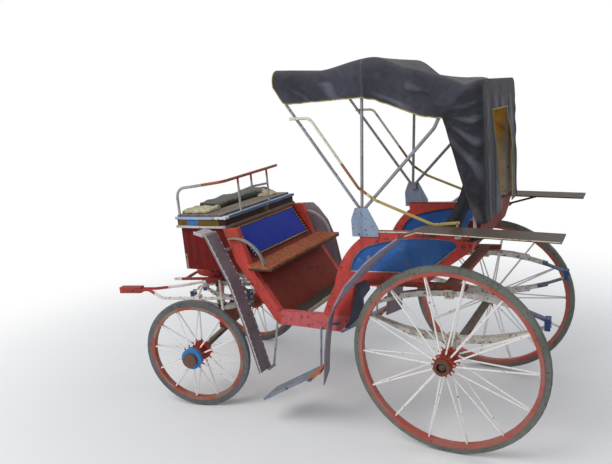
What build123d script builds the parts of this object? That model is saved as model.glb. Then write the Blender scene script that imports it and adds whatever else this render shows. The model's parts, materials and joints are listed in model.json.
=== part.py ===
from build123d import *
import math
import os

os.makedirs("parts", exist_ok=True)

# Frame: millimetres, +Z up, ground at Z = 0, the carriage faces -X, its left side is -Y.
# Lengths along X are measured from the rear axle and moved by x_shift at the end.

# Wheels
rear_wheel_r = 500.0
front_wheel_r = 351.0
rear_tyre_t = 31.0
front_tyre_t = 38.0
tyre_w = 34.0
tyre_crown = 6.0
tyre_tread_half = 8.0
rear_phase = 152.9
front_phase = 111.2
rim_t = 20.0
rim_w = 38.0
rear_spoke_pairs = 14
front_spoke_pairs = 12
flats_per_pair = 4
hub_flats = 16
spoke_flats = 6
spoke_bury = 5.0
rear_spoke_d = 9.0
front_spoke_d = 10.0
rear_wheel_off = 110.0
front_wheel_off = 111.0
wheelbase = 1709.0
flange_y = 55.0
flange_t = 14.0
rear_barrel_r = 32.0
rear_flange_r = 47.0
rear_ring_r = 41.0
rear_ring_t = 22.0
rear_hub_out = 94.0
rear_hub_in = 84.0
rear_bore_mouth_r = 26.0
rear_bore_mouth_deep = 34.0
front_barrel_r = 42.0
front_flange_r = 64.0
front_ring_r = 66.0
front_ring_t = 24.0
front_cap_r = 44.0
front_cap_t = 30.0
front_hub_in = 84.0
spindle_r = 16.0
running_gap = 0.3
end_gap = 1.0
nut_r = 22.0
nut_t = 16.0
collar_r = 30.0
collar_t = 6.0
axle_bar = 34.0
front_axle_bar = 28.0

# Steering
steer_angle = 12.1
kingpin_r = 14.0

# Elliptic springs
rear_spring_half = 465.0
rear_spring_top = 835.0
rear_spring_seat = 41.0
spring_w = 40.0
leaf_t = 10.0
leaf_count = 3
leaf_flats = 9
eye_flats = 12
bolt_flats = 8
eye_r = 13.0
eye_gap = 4.0
bolt_r = 7.0
cheek_t = 5.0
front_spring_half = 210.0
front_spring_top = 698.0
front_spring_low = 490.0
front_spring_y = 100.0
clip_t = 8.0
clip_over = 13.0
clip_half = 22.0
clip_stud_r = 5.5

# Body
body_half = 430.0
side_t = 38.0
panel_t = 18.0
seat_line_top = (-1345.0, 1140.0)
seat_line_slope = 0.663
sill_low = 552.0
sill_top = 645.0
rail_low = 866.0
rail_top = 1136.0
blue_inset = 12.0
blue_t = 10.0
floor_z = 612.0
floor_front_x = -1008.0
floor_len = 118.0
back_top = 1200.0
rear_seat_z = 905.0
rear_seat_x = -455.0
rear_seat_deep = 350.0
spring_inset = 15.0
cushion_t = 70.0

# Driver's seat and box
seat_front_x = -1722.0
seat_rear_x = -1338.0
seat_inside = 5.0
seat_top = 1204.0
seat_mould_t = 15.0
seat_band_t = 40.0
seat_low_t = 14.0
seat_inset = 9.0
seat_plank_t = 12.0
box_low = 860.0
box_front_x = -1709.0
jump_z = 918.0
jump_t = 26.0
jump_deep = 172.0
jump_over = 32.0
arm_w = 22.0
arm_t = 7.0
rail_tube_r = 9.0

# Mudguards
rear_guard_off = 30.0
rear_guard_w = 170.0
rear_guard_t = 7.0
rear_guard_end = 552.0
rear_guard_end_z = 1148.0
front_guard_off = 38.0
front_guard_w = 112.0
front_guard_t = 14.0
bracket_t = 9.0
step_w = 160.0
step_t = 14.0
hanger_r = 7.0
hanger_off = 7.3

# Hood
hood_over = 5.4
cloth_t = 5.0
hood_front_x = -912.0
hood_top_z = 2026.0
hood_shoulder = 60.0
bow_r = 9.0
bow_gap = 0.4
pivot_x = -450.0
pivot_z = 1240.0

# Turntable
ring_r = 175.0
ring_flats = 32
ring_bar = 26.0
ring_t = 18.0
ring_gap = 0.6
upper_ring_z = 765.0
pole_tube_r = 11.0
pole_z = 600.0
pole_half = 203.0
pole_box_front = -850.0
pole_box_rear = -675.0
pole_box_h = 44.0
pole_box_w = 52.0
pole_pin_r = 9.0

# Widths that follow from the body's own
body_in = body_half - side_t
box_half = body_in
seat_half = body_half - seat_inside
jump_half = body_half + jump_over
hood_half = body_half + hood_over
rear_spring_y = body_half - spring_inset
rear_spring_low = rear_wheel_r + axle_bar / 2 + rear_spring_seat
rear_track = 2 * (body_half + rear_wheel_off)
front_track = 2 * (body_half + front_wheel_off)
rear_guard_in = body_half + rear_guard_off
rear_guard_out = rear_guard_in + rear_guard_w
front_guard_in = body_half + front_guard_off
front_guard_out = front_guard_in + front_guard_w
hanger_y = body_half + hanger_off

kingpin_x = -wheelbase
steer = math.radians(steer_angle)
x_min = kingpin_x + pole_box_front * math.cos(steer) - pole_box_w / 2 * math.sin(steer)
x_max = rear_guard_end
x_shift = -(x_min + x_max) / 2
SIDES = (("left", -1), ("right", 1))


def save(builder, label):
    builder.part.label = label
    export_step(builder.part.moved(Location((x_shift, 0, 0))), f"parts/{label}.step")


def steered(builder):
    """The piece turned about the kingpin from straight ahead to the standing angle."""
    turned = builder.part.moved(Location((0, 0, 0), (0, 0, steer_angle)))
    return turned.moved(Location((kingpin_x, 0, 0)))


def save_fore(builder, label):
    piece = steered(builder)
    piece.label = label
    export_step(piece.moved(Location((x_shift, 0, 0))), f"parts/{label}.step")


def save_wheel(builder, label, side, front):
    piece = builder.part if side < 0 else builder.part.rotate(Axis.Z, 180)
    half = (front_track if front else rear_track) / 2
    radius = front_wheel_r if front else rear_wheel_r
    piece = piece.moved(Location((0, side * half, radius)))
    if front:
        piece = piece.moved(Location((0, 0, 0), (0, 0, steer_angle))).moved(Location((kingpin_x, 0, 0)))
    piece = piece.moved(Location((x_shift, 0, 0)))
    piece.label = label
    export_step(piece, f"parts/{label}.step")


def block(x, y, z, mode=Mode.ADD):
    """A box from its low and high values along each axis."""
    with Locations(((x[0] + x[1]) / 2, (y[0] + y[1]) / 2, (z[0] + z[1]) / 2)):
        Box(x[1] - x[0], y[1] - y[0], z[1] - z[0], mode=mode)


def rod(a, b, radius, sides=None, mode=Mode.ADD):
    """A bar from point a to point b, round, or with that many flats."""
    line = Vector(*b) - Vector(*a)
    with BuildSketch(Plane(origin=Vector(*a), z_dir=line)) as end:
        if sides:
            RegularPolygon(radius, sides)
        else:
            Circle(radius)
    extrude(end.sketch, amount=line.length, mode=mode)


def side_plate(points, y0, y1, mode=Mode.ADD):
    """A flat plate from its outline in X and Z, on the left side from y0 out to y1."""
    with BuildSketch(Plane.XZ.offset(y0)) as outline:
        with BuildLine():
            Polyline(*points, close=True)
        make_face()
    extrude(outline.sketch, amount=y1 - y0, mode=mode)


def offset_points(points, distance):
    """An open line of points moved sideways, to the left of its direction."""
    out = []
    for i, p in enumerate(points):
        a = points[max(i - 1, 0)]
        b = points[min(i + 1, len(points) - 1)]
        d0 = Vector(p[0] - a[0], p[1] - a[1]) if i else Vector(b[0] - p[0], b[1] - p[1])
        d1 = Vector(b[0] - p[0], b[1] - p[1]) if i < len(points) - 1 else d0
        d0 = d0.normalized()
        d1 = d1.normalized()
        mid = (d0 + d1).normalized()
        k = distance / max(mid.dot(d0), 0.2)
        out.append((p[0] - mid.Y * k, p[1] + mid.X * k))
    return out


def band(points, near, far):
    """A closed outline between two sideways offsets of an open line."""
    return offset_points(points, near) + offset_points(points, far)[::-1]


def leaf_bow(half, rise):
    """A leaf's joints between its flats: X, and the depth below its middle flat."""
    flat = half / leaf_flats
    run = (half * half - flat * flat - rise * rise) / (2 * rise)
    crown = math.sqrt(run * run + half * half - flat * flat)
    joints = [half * (2 * i / leaf_flats - 1) for i in range(leaf_flats + 1)]
    return [(x, crown - math.sqrt(run * run + half * half - x * x)) for x in joints]


def leaf_rise(top, low):
    """Depth of the main leaf's bow from its middle flat to its eyes."""
    return (top - low) / 2 - leaf_count * leaf_t + leaf_t / 2 - eye_r - eye_gap


def elliptic_spring(half, top, low, y):
    """Two packs of leaves bowed apart, with an eye at each end of each main leaf."""
    mid_z = (top + low) / 2
    eye_z = eye_r + eye_gap
    inner = (top - low) / 2 - leaf_count * leaf_t
    bow = leaf_bow(half, leaf_rise(top, low))
    for sign in (1, -1):
        with BuildSketch(Plane.XZ.offset(y - spring_w / 2)) as packs:
            for i in range(leaf_count):
                part = bow[i:len(bow) - i]
                near = [(x, mid_z + sign * (inner - d + i * leaf_t)) for x, d in part]
                far = [(x, mid_z + sign * (inner - d + (i + 1) * leaf_t)) for x, d in part]
                with BuildLine() as edge:
                    Polyline(*near, *far[::-1], close=True)
                make_face(edge.edges())
            with Locations((half, mid_z + sign * eye_z), (-half, mid_z + sign * eye_z)):
                RegularPolygon(eye_r, eye_flats)
                RegularPolygon(bolt_r + running_gap, bolt_flats, mode=Mode.SUBTRACT)
        extrude(packs.sketch, amount=spring_w)


def shackles(half, top, low, y):
    """Bolts through the four eyes of one spring and the link plates beside them."""
    mid_z = (top + low) / 2
    eye_z = eye_r + eye_gap
    reach = spring_w / 2 + cheek_t + running_gap
    for x in (half, -half):
        for sign in (1, -1):
            z = mid_z + sign * eye_z
            with BuildSketch(Plane.XZ.offset(y - reach)) as bolt:
                with Locations((x, z)):
                    RegularPolygon(bolt_r, bolt_flats)
            extrude(bolt.sketch, amount=2 * reach)
        for s in (1, -1):
            y0 = -y + s * (spring_w / 2 + running_gap)
            y1 = y0 + s * cheek_t
            block((x - eye_r, x + eye_r), sorted((y0, y1)), (mid_z - eye_z - eye_r, mid_z + eye_z + eye_r))


def leaf_sag(half, top, low, x):
    """How far a leaf pack has bent away from its middle flat at distance x along it."""
    bow = [p for p in leaf_bow(half, leaf_rise(top, low)) if p[0] > 0]
    for p, q in zip(bow, bow[1:]):
        if x <= q[0]:
            return max(0.0, p[1] + (q[1] - p[1]) * (x - p[0]) / (q[0] - p[0]))
    return bow[-1][1]


def spring_clip(y, low, high, seat_low, seat_high, clear_low, clear_high):
    """Tie plates over and under a pack of leaves, drawn together by four studs."""
    w = spring_w / 2 + clip_over
    low -= clear_low
    high += clear_high
    block((-clip_half, clip_half), (-y - w, -y + w), (high, high + seat_high))
    block((-clip_half, clip_half), (-y - w, -y + w), (low - seat_low, low))
    for x in (-clip_half + clip_stud_r + 2, clip_half - clip_stud_r - 2):
        for s in (-1, 1):
            stud_y = -y + s * (w - clip_stud_r - 1)
            rod((x, stud_y, low), (x, stud_y, high), clip_stud_r, 6)


def twisted_strip(stations, inner, outer, thickness):
    """A bent strip on the left side from its edges at each station, thick to the wheel's side."""
    sections = []
    for i, (p, q) in enumerate(stations):
        before = stations[max(i - 1, 0)][0]
        after = stations[min(i + 1, len(stations) - 1)][0]
        along = Vector(after[0] - before[0], 0, after[1] - before[1]).normalized()
        down = Vector(-along.Z, 0, along.X)
        across = Vector(q[0] - p[0], inner - outer, q[1] - p[1])
        plane = Plane(origin=(p[0], -inner, p[1]), x_dir=across, z_dir=across.cross(down))
        shift = (thickness * down.dot(plane.x_dir), thickness * down.dot(plane.y_dir))
        with BuildSketch(plane) as section:
            with BuildLine() as edge:
                Polyline((0, 0), (across.length, 0), (across.length + shift[0], shift[1]), shift, close=True)
            make_face(edge.edges())
        sections.append(section.sketch)
    loft(sections, ruled=True)


def both_sides(builder):
    """The left-hand pieces of the current part, copied to the right."""
    mirror(about=Plane.XZ)


# Wheels, each made about its own axle line with its outer side towards -Y
def along_axle(steps, flats, turn=0.0, mode=Mode.ADD):
    """Straight flat-sided lengths about the axle line, each from y0 to y1 at radius r."""
    for y0, y1, r in steps:
        with BuildSketch(Plane.XZ.offset(-y1)) as end:
            RegularPolygon(r, flats, rotation=turn)
        extrude(end.sketch, amount=y1 - y0, mode=mode)


def make_tyre(radius, thickness, flats):
    half = tyre_w / 2
    crown = ((-half, radius - tyre_crown), (-tyre_tread_half, radius), (tyre_tread_half, radius),
             (half, radius - tyre_crown))
    with BuildPart() as tyre:
        sections = []
        for y, r in crown:
            with BuildSketch(Plane.XZ.offset(-y)) as section:
                RegularPolygon(r, flats)
            sections.append(section.sketch)
        loft(sections, ruled=True)
        along_axle(((-half, half, radius - thickness),), flats, mode=Mode.SUBTRACT)
    return tyre


def make_wheel(rim_out, pairs, spoke_d, hub, flange_r, hollows, phase):
    """Rim, hub and the crossed pairs of rods between them, as one piece."""
    rim_in = rim_out - rim_t
    rim_flats = pairs * flats_per_pair
    with BuildPart() as wheel:
        along_axle(((-rim_w / 2, rim_w / 2, rim_out),), rim_flats)
        along_axle(((-rim_w / 2, rim_w / 2, rim_in),), rim_flats, mode=Mode.SUBTRACT)
        along_axle(hub, hub_flats)
        along_axle(((-fl1, -fl0, flange_r), (fl0, fl1, flange_r)), pairs, phase + 180 / pairs)
        flat_in = rim_in * math.cos(math.pi / rim_flats)
        for k in range(pairs):
            a = math.radians(phase + 360 / pairs * k)
            for s in (-1, 1):
                start = flange_r * math.cos(math.pi / pairs) - spoke_bury
                end = flat_in + spoke_bury
                lean = s * (spoke_d / 2 + 2.5)
                rod((start * math.cos(a), s * flange_y, start * math.sin(a)),
                    (end * math.cos(a), lean, end * math.sin(a)), spoke_d / 2, spoke_flats)
        for y0, y1, r in hollows:
            with BuildSketch(Plane.XZ.offset(-y1)) as hole:
                Circle(r)
            extrude(hole.sketch, amount=y1 - y0, mode=Mode.SUBTRACT)
    return wheel


fl0 = flange_y - flange_t / 2
fl1 = flange_y + flange_t / 2
bore_r = spindle_r + running_gap
rear_steps = (
    (-rear_hub_out, -rear_hub_out + rear_ring_t, rear_ring_r),
    (-rear_hub_out + rear_ring_t, rear_hub_in, rear_barrel_r),
)
mouth_end = -rear_hub_out + rear_bore_mouth_deep
rear_hollows = (
    (-rear_hub_out, mouth_end, rear_bore_mouth_r),
    (mouth_end, rear_hub_in, bore_r),
)
front_out = fl1 + 10 + front_ring_t + front_cap_t
front_steps = (
    (-front_out, -front_out + front_cap_t, front_cap_r),
    (-front_out + front_cap_t, -front_out + front_cap_t + front_ring_t, front_ring_r),
    (-front_out + front_cap_t + front_ring_t, front_hub_in, front_barrel_r),
)
front_bore_end = -front_out + front_cap_t + 5
front_hollows = ((front_bore_end, front_hub_in, bore_r),)
rear_tyre = make_tyre(rear_wheel_r, rear_tyre_t, rear_spoke_pairs * flats_per_pair)
front_tyre = make_tyre(front_wheel_r, front_tyre_t, front_spoke_pairs * flats_per_pair)
rear_wheel = make_wheel(rear_wheel_r - rear_tyre_t, rear_spoke_pairs, rear_spoke_d, rear_steps,
                        rear_flange_r, rear_hollows, rear_phase)
front_wheel = make_wheel(front_wheel_r - front_tyre_t, front_spoke_pairs, front_spoke_d, front_steps,
                         front_flange_r, front_hollows, front_phase)
for name, side in SIDES:
    save_wheel(rear_tyre, f"rear_wheel_{name}_tyre", side, False)
    save_wheel(rear_wheel, f"rear_wheel_{name}_rim", side, False)
    save_wheel(front_tyre, f"front_wheel_{name}_tyre", side, True)
    save_wheel(front_wheel, f"front_wheel_{name}_rim", side, True)

# Rear axle with collars, spindles and nuts
with BuildPart() as rear_axle:
    face = rear_track / 2 - rear_hub_in - end_gap
    block((-axle_bar / 2, axle_bar / 2), (-face + collar_t, face - collar_t),
          (rear_wheel_r - axle_bar / 2, rear_wheel_r + axle_bar / 2))
    for s in (-1, 1):
        z = rear_wheel_r
        nut_y = rear_track / 2 - mouth_end + end_gap
        rod((0, s * (face - collar_t), z), (0, s * face, z), collar_r)
        rod((0, s * face, z), (0, s * (nut_y + nut_t + 5), z), spindle_r)
        with BuildSketch(Plane(origin=(0, s * nut_y, z), x_dir=(1, 0, 0), z_dir=(0, s, 0))):
            RegularPolygon(nut_r, 6)
        extrude(amount=nut_t)
save(rear_axle, "rear_axle")

# Rear springs, shackles and clips
with BuildPart() as rear_springs:
    elliptic_spring(rear_spring_half, rear_spring_top, rear_spring_low, rear_spring_y)
    both_sides(rear_springs)
save(rear_springs, "rear_springs")

with BuildPart() as rear_shackles:
    shackles(rear_spring_half, rear_spring_top, rear_spring_low, rear_spring_y)
    both_sides(rear_shackles)
save(rear_shackles, "rear_shackles")

pack_t = leaf_count * leaf_t
beam_low = rear_spring_top + clip_t
with BuildPart() as spring_clips:
    sag = leaf_sag(rear_spring_half, rear_spring_top, rear_spring_low, clip_half) + 0.1
    spring_clip(rear_spring_y, rear_spring_top - pack_t, rear_spring_top, clip_t, clip_t, sag, 0)
    spring_clip(rear_spring_y, rear_spring_low, rear_spring_low + pack_t, rear_spring_seat, clip_t, 0, sag)
    both_sides(spring_clips)
save(spring_clips, "spring_clips")


def seat_line(z):
    """X of the slanted panel's rear face at height z."""
    return seat_line_top[0] + seat_line_slope * (seat_line_top[1] - z)


# Body sides: one bent frame each, with the quarter panel let in
seat_low = seat_top - seat_mould_t - seat_band_t - seat_low_t
shell_line = ((-110.0, rail_low), (-20.0, rail_low + 79), (120.0, rail_top - 91), (172.0, back_top))
shell_rise = (rail_top - shell_line[2][1]) / (shell_line[3][1] - shell_line[2][1])
rail_rear_x = shell_line[2][0] + shell_rise * (shell_line[3][0] - shell_line[2][0])
blue_front = (-548.0, rail_low + 42)
blue_top_front = (-430.0, rail_top - 80)
blue_top_rear = (30.0, rail_top - 44)


def quarter_outline(mode=Mode.ADD):
    with BuildLine() as edge:
        Polyline(blue_front, (-125.0, rail_low + 50), (-20.0, rail_low + 134), (52.0, rail_top - 74),
                 blue_top_rear)
        ThreePointArc(blue_top_rear, (-200.0, rail_top - 36), blue_top_front)
        ThreePointArc(blue_top_front, (-507.0, (rail_low + rail_top) / 2 - 1), blue_front)
    make_face(edge.edges(), mode=mode)


door_top = (-470.0, rail_top - 40)
door_low = (-642.0, rail_low - 36)
with BuildPart() as side_frames:
    with BuildSketch(Plane.XZ.offset(body_half - side_t)):
        with BuildLine():
            Polyline(door_top, (-475.0, rail_top), (rail_rear_x, rail_top), shell_line[2], shell_line[1],
                     shell_line[0], (-460.0, rail_low), (-520.0, rail_low - 28), (-590.0, sill_low + 58),
                     (-632.0, sill_low), (-1035.0, sill_low + 10), (-1062.0, sill_low + 40),
                     (-1290.0, jump_z + 12), (seat_rear_x - 24, seat_low), (seat_rear_x + 76, seat_low),
                     (seat_line(jump_z), jump_z), (seat_line(sill_top), sill_top), (-735.0, sill_top),
                     (-690.0, sill_top + 100), door_low)
            ThreePointArc(door_low, (-578.0, (rail_low + rail_top) / 2 - 16), door_top)
        make_face()
        quarter_outline(Mode.SUBTRACT)
    extrude(amount=side_t)
    both_sides(side_frames)
save(side_frames, "side_frames")

with BuildPart() as quarter_panels:
    with BuildSketch(Plane.XZ.offset(body_half - blue_inset - blue_t)):
        quarter_outline()
    extrude(amount=blue_t)
    both_sides(quarter_panels)
save(quarter_panels, "quarter_panels")

# Floor board, and the splash panels inside the stiles
with BuildPart() as floor_board:
    block((floor_front_x - 12, floor_front_x + floor_len), (-body_in, body_in), (floor_z - 20, floor_z))
save(floor_board, "floor_board")

with BuildPart() as splash_panels:
    side_plate([(-700, sill_low + 10), (-600, sill_low + 10), (-495, sill_top + 15), (-495, sill_top + 100),
                (-452, rail_low - 66), (-452, rail_low), (-600, rail_low)], body_in - 8, body_in)
    both_sides(splash_panels)
save(splash_panels, "splash_panels")

# Beams over the springs, seat board and the swept rear shell
beam_y0 = rear_spring_y - spring_w / 2
beam_y1 = rear_spring_y + spring_w / 2
with BuildPart() as body_beams:
    block((-448, 90), (-beam_y1, -beam_y0), (beam_low, rail_low))
    both_sides(body_beams)
    block((-30, 30), (-beam_y0, beam_y0), (beam_low, rail_low))
    block((-440, -400), (-beam_y0, beam_y0), (beam_low, rail_low))
save(body_beams, "body_beams")

with BuildPart() as rear_shell:
    with BuildSketch(Plane.XZ.offset(-body_in)):
        with BuildLine():
            Polyline(*band(shell_line, 0, 14), close=True)
        make_face()
    extrude(amount=2 * body_in)
    block((-200, 400), (-body_in, body_in), (0, rail_low), mode=Mode.SUBTRACT)
save(rear_shell, "rear_shell")

seat_x0 = rear_seat_x
seat_x1 = seat_x0 + rear_seat_deep
with BuildPart() as seat_board:
    block((seat_x0, seat_x1), (-body_in, body_in), (rear_seat_z - 15, rear_seat_z))
    block((seat_x0, seat_x0 + 15), (-body_in, body_in), (rail_low, rear_seat_z - 15))
save(seat_board, "seat_board")

with BuildPart() as seat_cushion:
    block((seat_x0 + 4, seat_x1 - 2), (-body_in + 3, body_in - 3),
          (rear_seat_z + running_gap, rear_seat_z + cushion_t))
    fillet(seat_cushion.edges().filter_by(Axis.Y).group_by(Axis.Z)[-1], 18)
save(seat_cushion, "seat_cushion")

with BuildPart() as back_cushion:
    cushion_line = ((20, rail_low + 107.6), shell_line[2], (165.8, back_top - 18.5))
    with BuildSketch(Plane.XZ.offset(-body_in + 3)):
        with BuildLine():
            Polyline(*band(cushion_line, 14.3, 66), close=True)
        make_face()
    extrude(amount=2 * (body_in - 3))
save(back_cushion, "back_cushion")

# Driver's box: side panels, front board and floor in one carcase
panel_dx = panel_t * math.sqrt(1 + seat_line_slope ** 2)
wall_in = box_half - panel_t
with BuildPart() as box_carcase:
    side_plate([(box_front_x, seat_low), (seat_line(seat_low) - panel_dx, seat_low),
                (seat_line(box_low) - panel_dx, box_low), (box_front_x, box_low)], wall_in, box_half)
    both_sides(box_carcase)
    block((box_front_x, box_front_x + panel_t), (-wall_in, wall_in), (box_low, seat_low))
    with BuildSketch(Plane.XZ.offset(-wall_in)):
        with BuildLine():
            Polyline((box_front_x, box_low), (seat_line(box_low) - panel_dx, box_low),
                     (seat_line(box_low + panel_t) - panel_dx, box_low + panel_t),
                     (box_front_x, box_low + panel_t), close=True)
        make_face()
    extrude(amount=2 * wall_in)
save(box_carcase, "box_carcase")

with BuildPart() as slant_panel:
    with BuildSketch(Plane.XZ.offset(-body_in)):
        with BuildLine():
            Polyline((seat_line(seat_low) - panel_dx, seat_low), (seat_line(seat_low), seat_low),
                     (seat_line(floor_z), floor_z), (seat_line(floor_z) - panel_dx, floor_z), close=True)
        make_face()
    extrude(amount=2 * body_in)
save(slant_panel, "slant_panel")

pad_low = jump_z + 26
pad_high = seat_low - 15
pad_half = body_in - 47
pad_t = 14.0
pad_dx = pad_t * math.sqrt(1 + seat_line_slope ** 2)
with BuildPart() as box_rear_pad:
    with BuildSketch(Plane.XZ.offset(-pad_half)):
        with BuildLine():
            Polyline((seat_line(pad_high), pad_high), (seat_line(pad_high) + pad_dx, pad_high),
                     (seat_line(pad_low) + pad_dx, pad_low), (seat_line(pad_low), pad_low), close=True)
        make_face()
    extrude(amount=2 * pad_half)
save(box_rear_pad, "box_rear_pad")

# Driver's seat frame with its mouldings, planks and what is left of the cushion
with BuildPart() as seat_frame:
    z = seat_low
    for height, inset in ((seat_low_t, 0), (seat_band_t, seat_inset), (seat_mould_t, 0)):
        half = seat_half - inset
        block((seat_front_x + inset, seat_rear_x - inset), (-half, half), (z, z + height))
        z += height
    block((seat_front_x + 48, seat_rear_x - 48), (-seat_half + 60, seat_half - 60), (seat_low, seat_top),
          mode=Mode.SUBTRACT)
save(seat_frame, "seat_frame")

plank_z = seat_top + seat_plank_t
with BuildPart() as seat_planks:
    plank_w = 78.0
    for k in range(4):
        x = seat_front_x + 14 + k * (plank_w + 6)
        block((x, x + plank_w), (-seat_half + 10, seat_half - 10), (seat_top, plank_z))
save(seat_planks, "seat_planks")

with BuildPart() as seat_pad:
    block((seat_front_x + 18, seat_front_x + 202), (-seat_half / 2, seat_half - 20),
          (plank_z + running_gap, plank_z + 36))
    fillet(seat_pad.edges().filter_by(Axis.Y).group_by(Axis.Z)[-1], 14)
save(seat_pad, "seat_pad")

with BuildPart() as seat_stuffing:
    block((seat_front_x + 18, seat_front_x + 222), (-seat_half + 40, -seat_half / 2 - 12),
          (plank_z + running_gap, plank_z + 20))
    fillet(seat_stuffing.edges().filter_by(Axis.Y).group_by(Axis.Z)[-1], 7)
save(seat_stuffing, "seat_stuffing")

# Tube rail of the driver's seat, broken off on the far side
rail_x = seat_rear_x - 14
rail_y = seat_half - 23
rail_front = seat_front_x + 22
rail_z = plank_z + 198
with BuildPart() as seat_rail:
    with BuildLine() as rail_path:
        FilletPolyline((rail_front, -rail_y, plank_z), (rail_front, -rail_y, rail_z - 36),
                       (rail_front + 140, -rail_y, rail_z - 22), (rail_x, -rail_y + 12, rail_z),
                       (rail_x, 245, rail_z + 16), radius=(62, 45, 52))
    with BuildSketch(Plane(origin=(rail_front, -rail_y, plank_z), z_dir=(0, 0, 1))):
        RegularPolygon(rail_tube_r, 6)
    sweep(path=rail_path.line)
    rod((rail_x, -230, seat_top), (rail_x, -230, rail_z + 4), 7.5, 6)
    rod((rail_x, 110, seat_top), (rail_x, 110, rail_z + 12), 7.5, 6)
    rod((rail_x, -80, rail_z - 78), (rail_x, -80, rail_z + 8), 7.5, 6)
    rod((rail_x, -230, rail_z - 90), (rail_x, -80, rail_z - 78), 7.5, 6)
    rod((rail_x, -80, rail_z - 78), (rail_x, 110, rail_z - 86), 7.5, 6)
save(seat_rail, "seat_rail")

# Jump seat board against the slanted panel, and its two strap arms
jump_low = jump_z - jump_t
with BuildPart() as jump_seat:
    with BuildSketch(Plane.XZ.offset(-jump_half)):
        with BuildLine():
            Polyline((seat_line(jump_z), jump_z), (seat_line(jump_z) + jump_deep, jump_z),
                     (seat_line(jump_z) + jump_deep, jump_low), (seat_line(jump_low), jump_low), close=True)
        make_face()
    extrude(amount=2 * jump_half)
save(jump_seat, "jump_seat")

arm_top = (seat_line(jump_z) - 124, jump_z + 160)
arm_mid = (seat_line(jump_z) + 20, jump_z + 140)
arm_end = (seat_line(jump_z) + 116, jump_z)
with BuildPart() as jump_arms:
    with BuildSketch(Plane.XZ.offset(body_half)):
        with BuildLine():
            ThreePointArc(arm_top, arm_mid, arm_end)
            Line(arm_end, (arm_end[0] - arm_t, arm_end[1]))
            ThreePointArc((arm_end[0] - arm_t, arm_end[1]), (arm_mid[0] - 3, arm_mid[1] - arm_t),
                          (arm_top[0], arm_top[1] - arm_t))
            Line((arm_top[0], arm_top[1] - arm_t), arm_top)
        make_face()
    extrude(amount=arm_w)
    both_sides(jump_arms)
save(jump_arms, "jump_seat_arms")

# Front mudguards: bent boards on brackets, the right one twisted and standing further back
guard_foot_z = 300.0
near_guard_line = ((-1468, 1132), (-1388, 1112), (-1264, 850), (-1186, 590), (-1112, guard_foot_z))
far_guard_line = (
    ((-1352, 1122), (-1282, 1104)),
    ((-1326, 1080), (-1240, 1066)),
    ((-1268, 966), (-1172, 976)),
    ((-1216, 830), (-1120, 836)),
    ((-1166, 660), (-1090, 664)),
    ((-1100, guard_foot_z), (-1034, guard_foot_z)),
)
near_brackets = ((-1341, -1306, 1012), (-1250, -1188, 800))
far_brackets = ((-1268, -1240, 957), (-1214, -1184, 822))


def guard_brackets(places):
    for x0, x1, z in places:
        block((x0, x1), (-front_guard_in - 3, -body_half), (z, z + bracket_t))


with BuildPart() as front_guards:
    side_plate(band(near_guard_line, 0, front_guard_t), front_guard_in, front_guard_out)
    guard_brackets(near_brackets)
    with BuildPart(mode=Mode.PRIVATE) as far_guard:
        twisted_strip(far_guard_line, front_guard_in, front_guard_out, front_guard_t)
        guard_brackets(far_brackets)
    mirror(far_guard.part, about=Plane.XZ)
save(front_guards, "front_mudguards")

# Rear mudguards: twisted strips, the inner and outer edge at each station in X and Z
rear_guard_line = (
    ((rear_guard_end, rear_guard_end_z), (rear_guard_end, rear_guard_end_z)),
    ((-92, 1180), (-92, 1181)),
    ((-150, 1162), (-140, 1174)),
    ((-198, 1132), (-190, 1150)),
    ((-270, 1070), (-278, 1090)),
    ((-352, 999), (-369, 1018)),
    ((-480, 882), (-489, 894)),
    ((-571, 793), (-556, 787)),
    ((-645, 701), (-603, 692)),
    ((-668, 610), (-624, 602)),
    ((-687, 519), (-640, 514)),
    ((-700, 430), (-650, 425)),
    ((-712, 328), (-662, 318)),
)


with BuildPart() as rear_guards:
    twisted_strip(rear_guard_line, rear_guard_in, rear_guard_out, rear_guard_t)
    block((-80, -50), (-rear_guard_in - 15, -body_half), (rail_top - 16, rail_top - 8))
    block((-80, -50), (-rear_guard_in - 15, -rear_guard_in - 9), (rail_top - 8, 1175))
    block((-666, -622), (-rear_guard_in - 3, -body_half), (602, 610))
    block((120, 150), (-rear_guard_in - 40, -body_half), (rail_top - 28, rail_top - 20))
    rod((135, -rear_guard_in - 30, rail_top - 24), (290, -rear_guard_in - 30, 1153), 6, 6)
    both_sides(rear_guards)
save(rear_guards, "rear_mudguards")

# Step hangers on the sills, and the step boards dropped at their front ends
step_in = rear_guard_in
step_out = step_in + step_w
step_line = ((-680, 391), (-1076, 168))
step_slope = (step_line[0][1] - step_line[1][1]) / (step_line[0][0] - step_line[1][0])
rest_x = -784.0
under_step = step_t * math.sqrt(1 + step_slope ** 2) + running_gap
rest_top = step_line[0][1] + step_slope * (rest_x - step_line[0][0]) - under_step


def step_hanger(guard_end_x):
    """Two rods down from the sill, one with a foot under the front guard, one under the step."""
    foot = (-1096, -hanger_y, guard_foot_z - 6)
    rod((-1039, -hanger_y, sill_low + 20), foot, hanger_r, 8)
    block((foot[0] - 9, max(foot[0] + 9, guard_end_x + 12)), (-front_guard_in - 36, -hanger_y + hanger_r),
          (guard_foot_z - 9, guard_foot_z - 0.3))
    rod((-748, -hanger_y, sill_low + 20), (-773, -hanger_y, rest_top - 5), hanger_r, 8)
    block((rest_x, rest_x + 22), (-step_out + 20, -hanger_y + hanger_r), (rest_top - 10, rest_top))


with BuildPart() as step_hangers:
    step_hanger(near_guard_line[-1][0])
    with BuildPart(mode=Mode.PRIVATE) as far_hanger:
        step_hanger(far_guard_line[-1][0][0])
    mirror(far_hanger.part, about=Plane.XZ)
save(step_hangers, "step_hangers")

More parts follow.
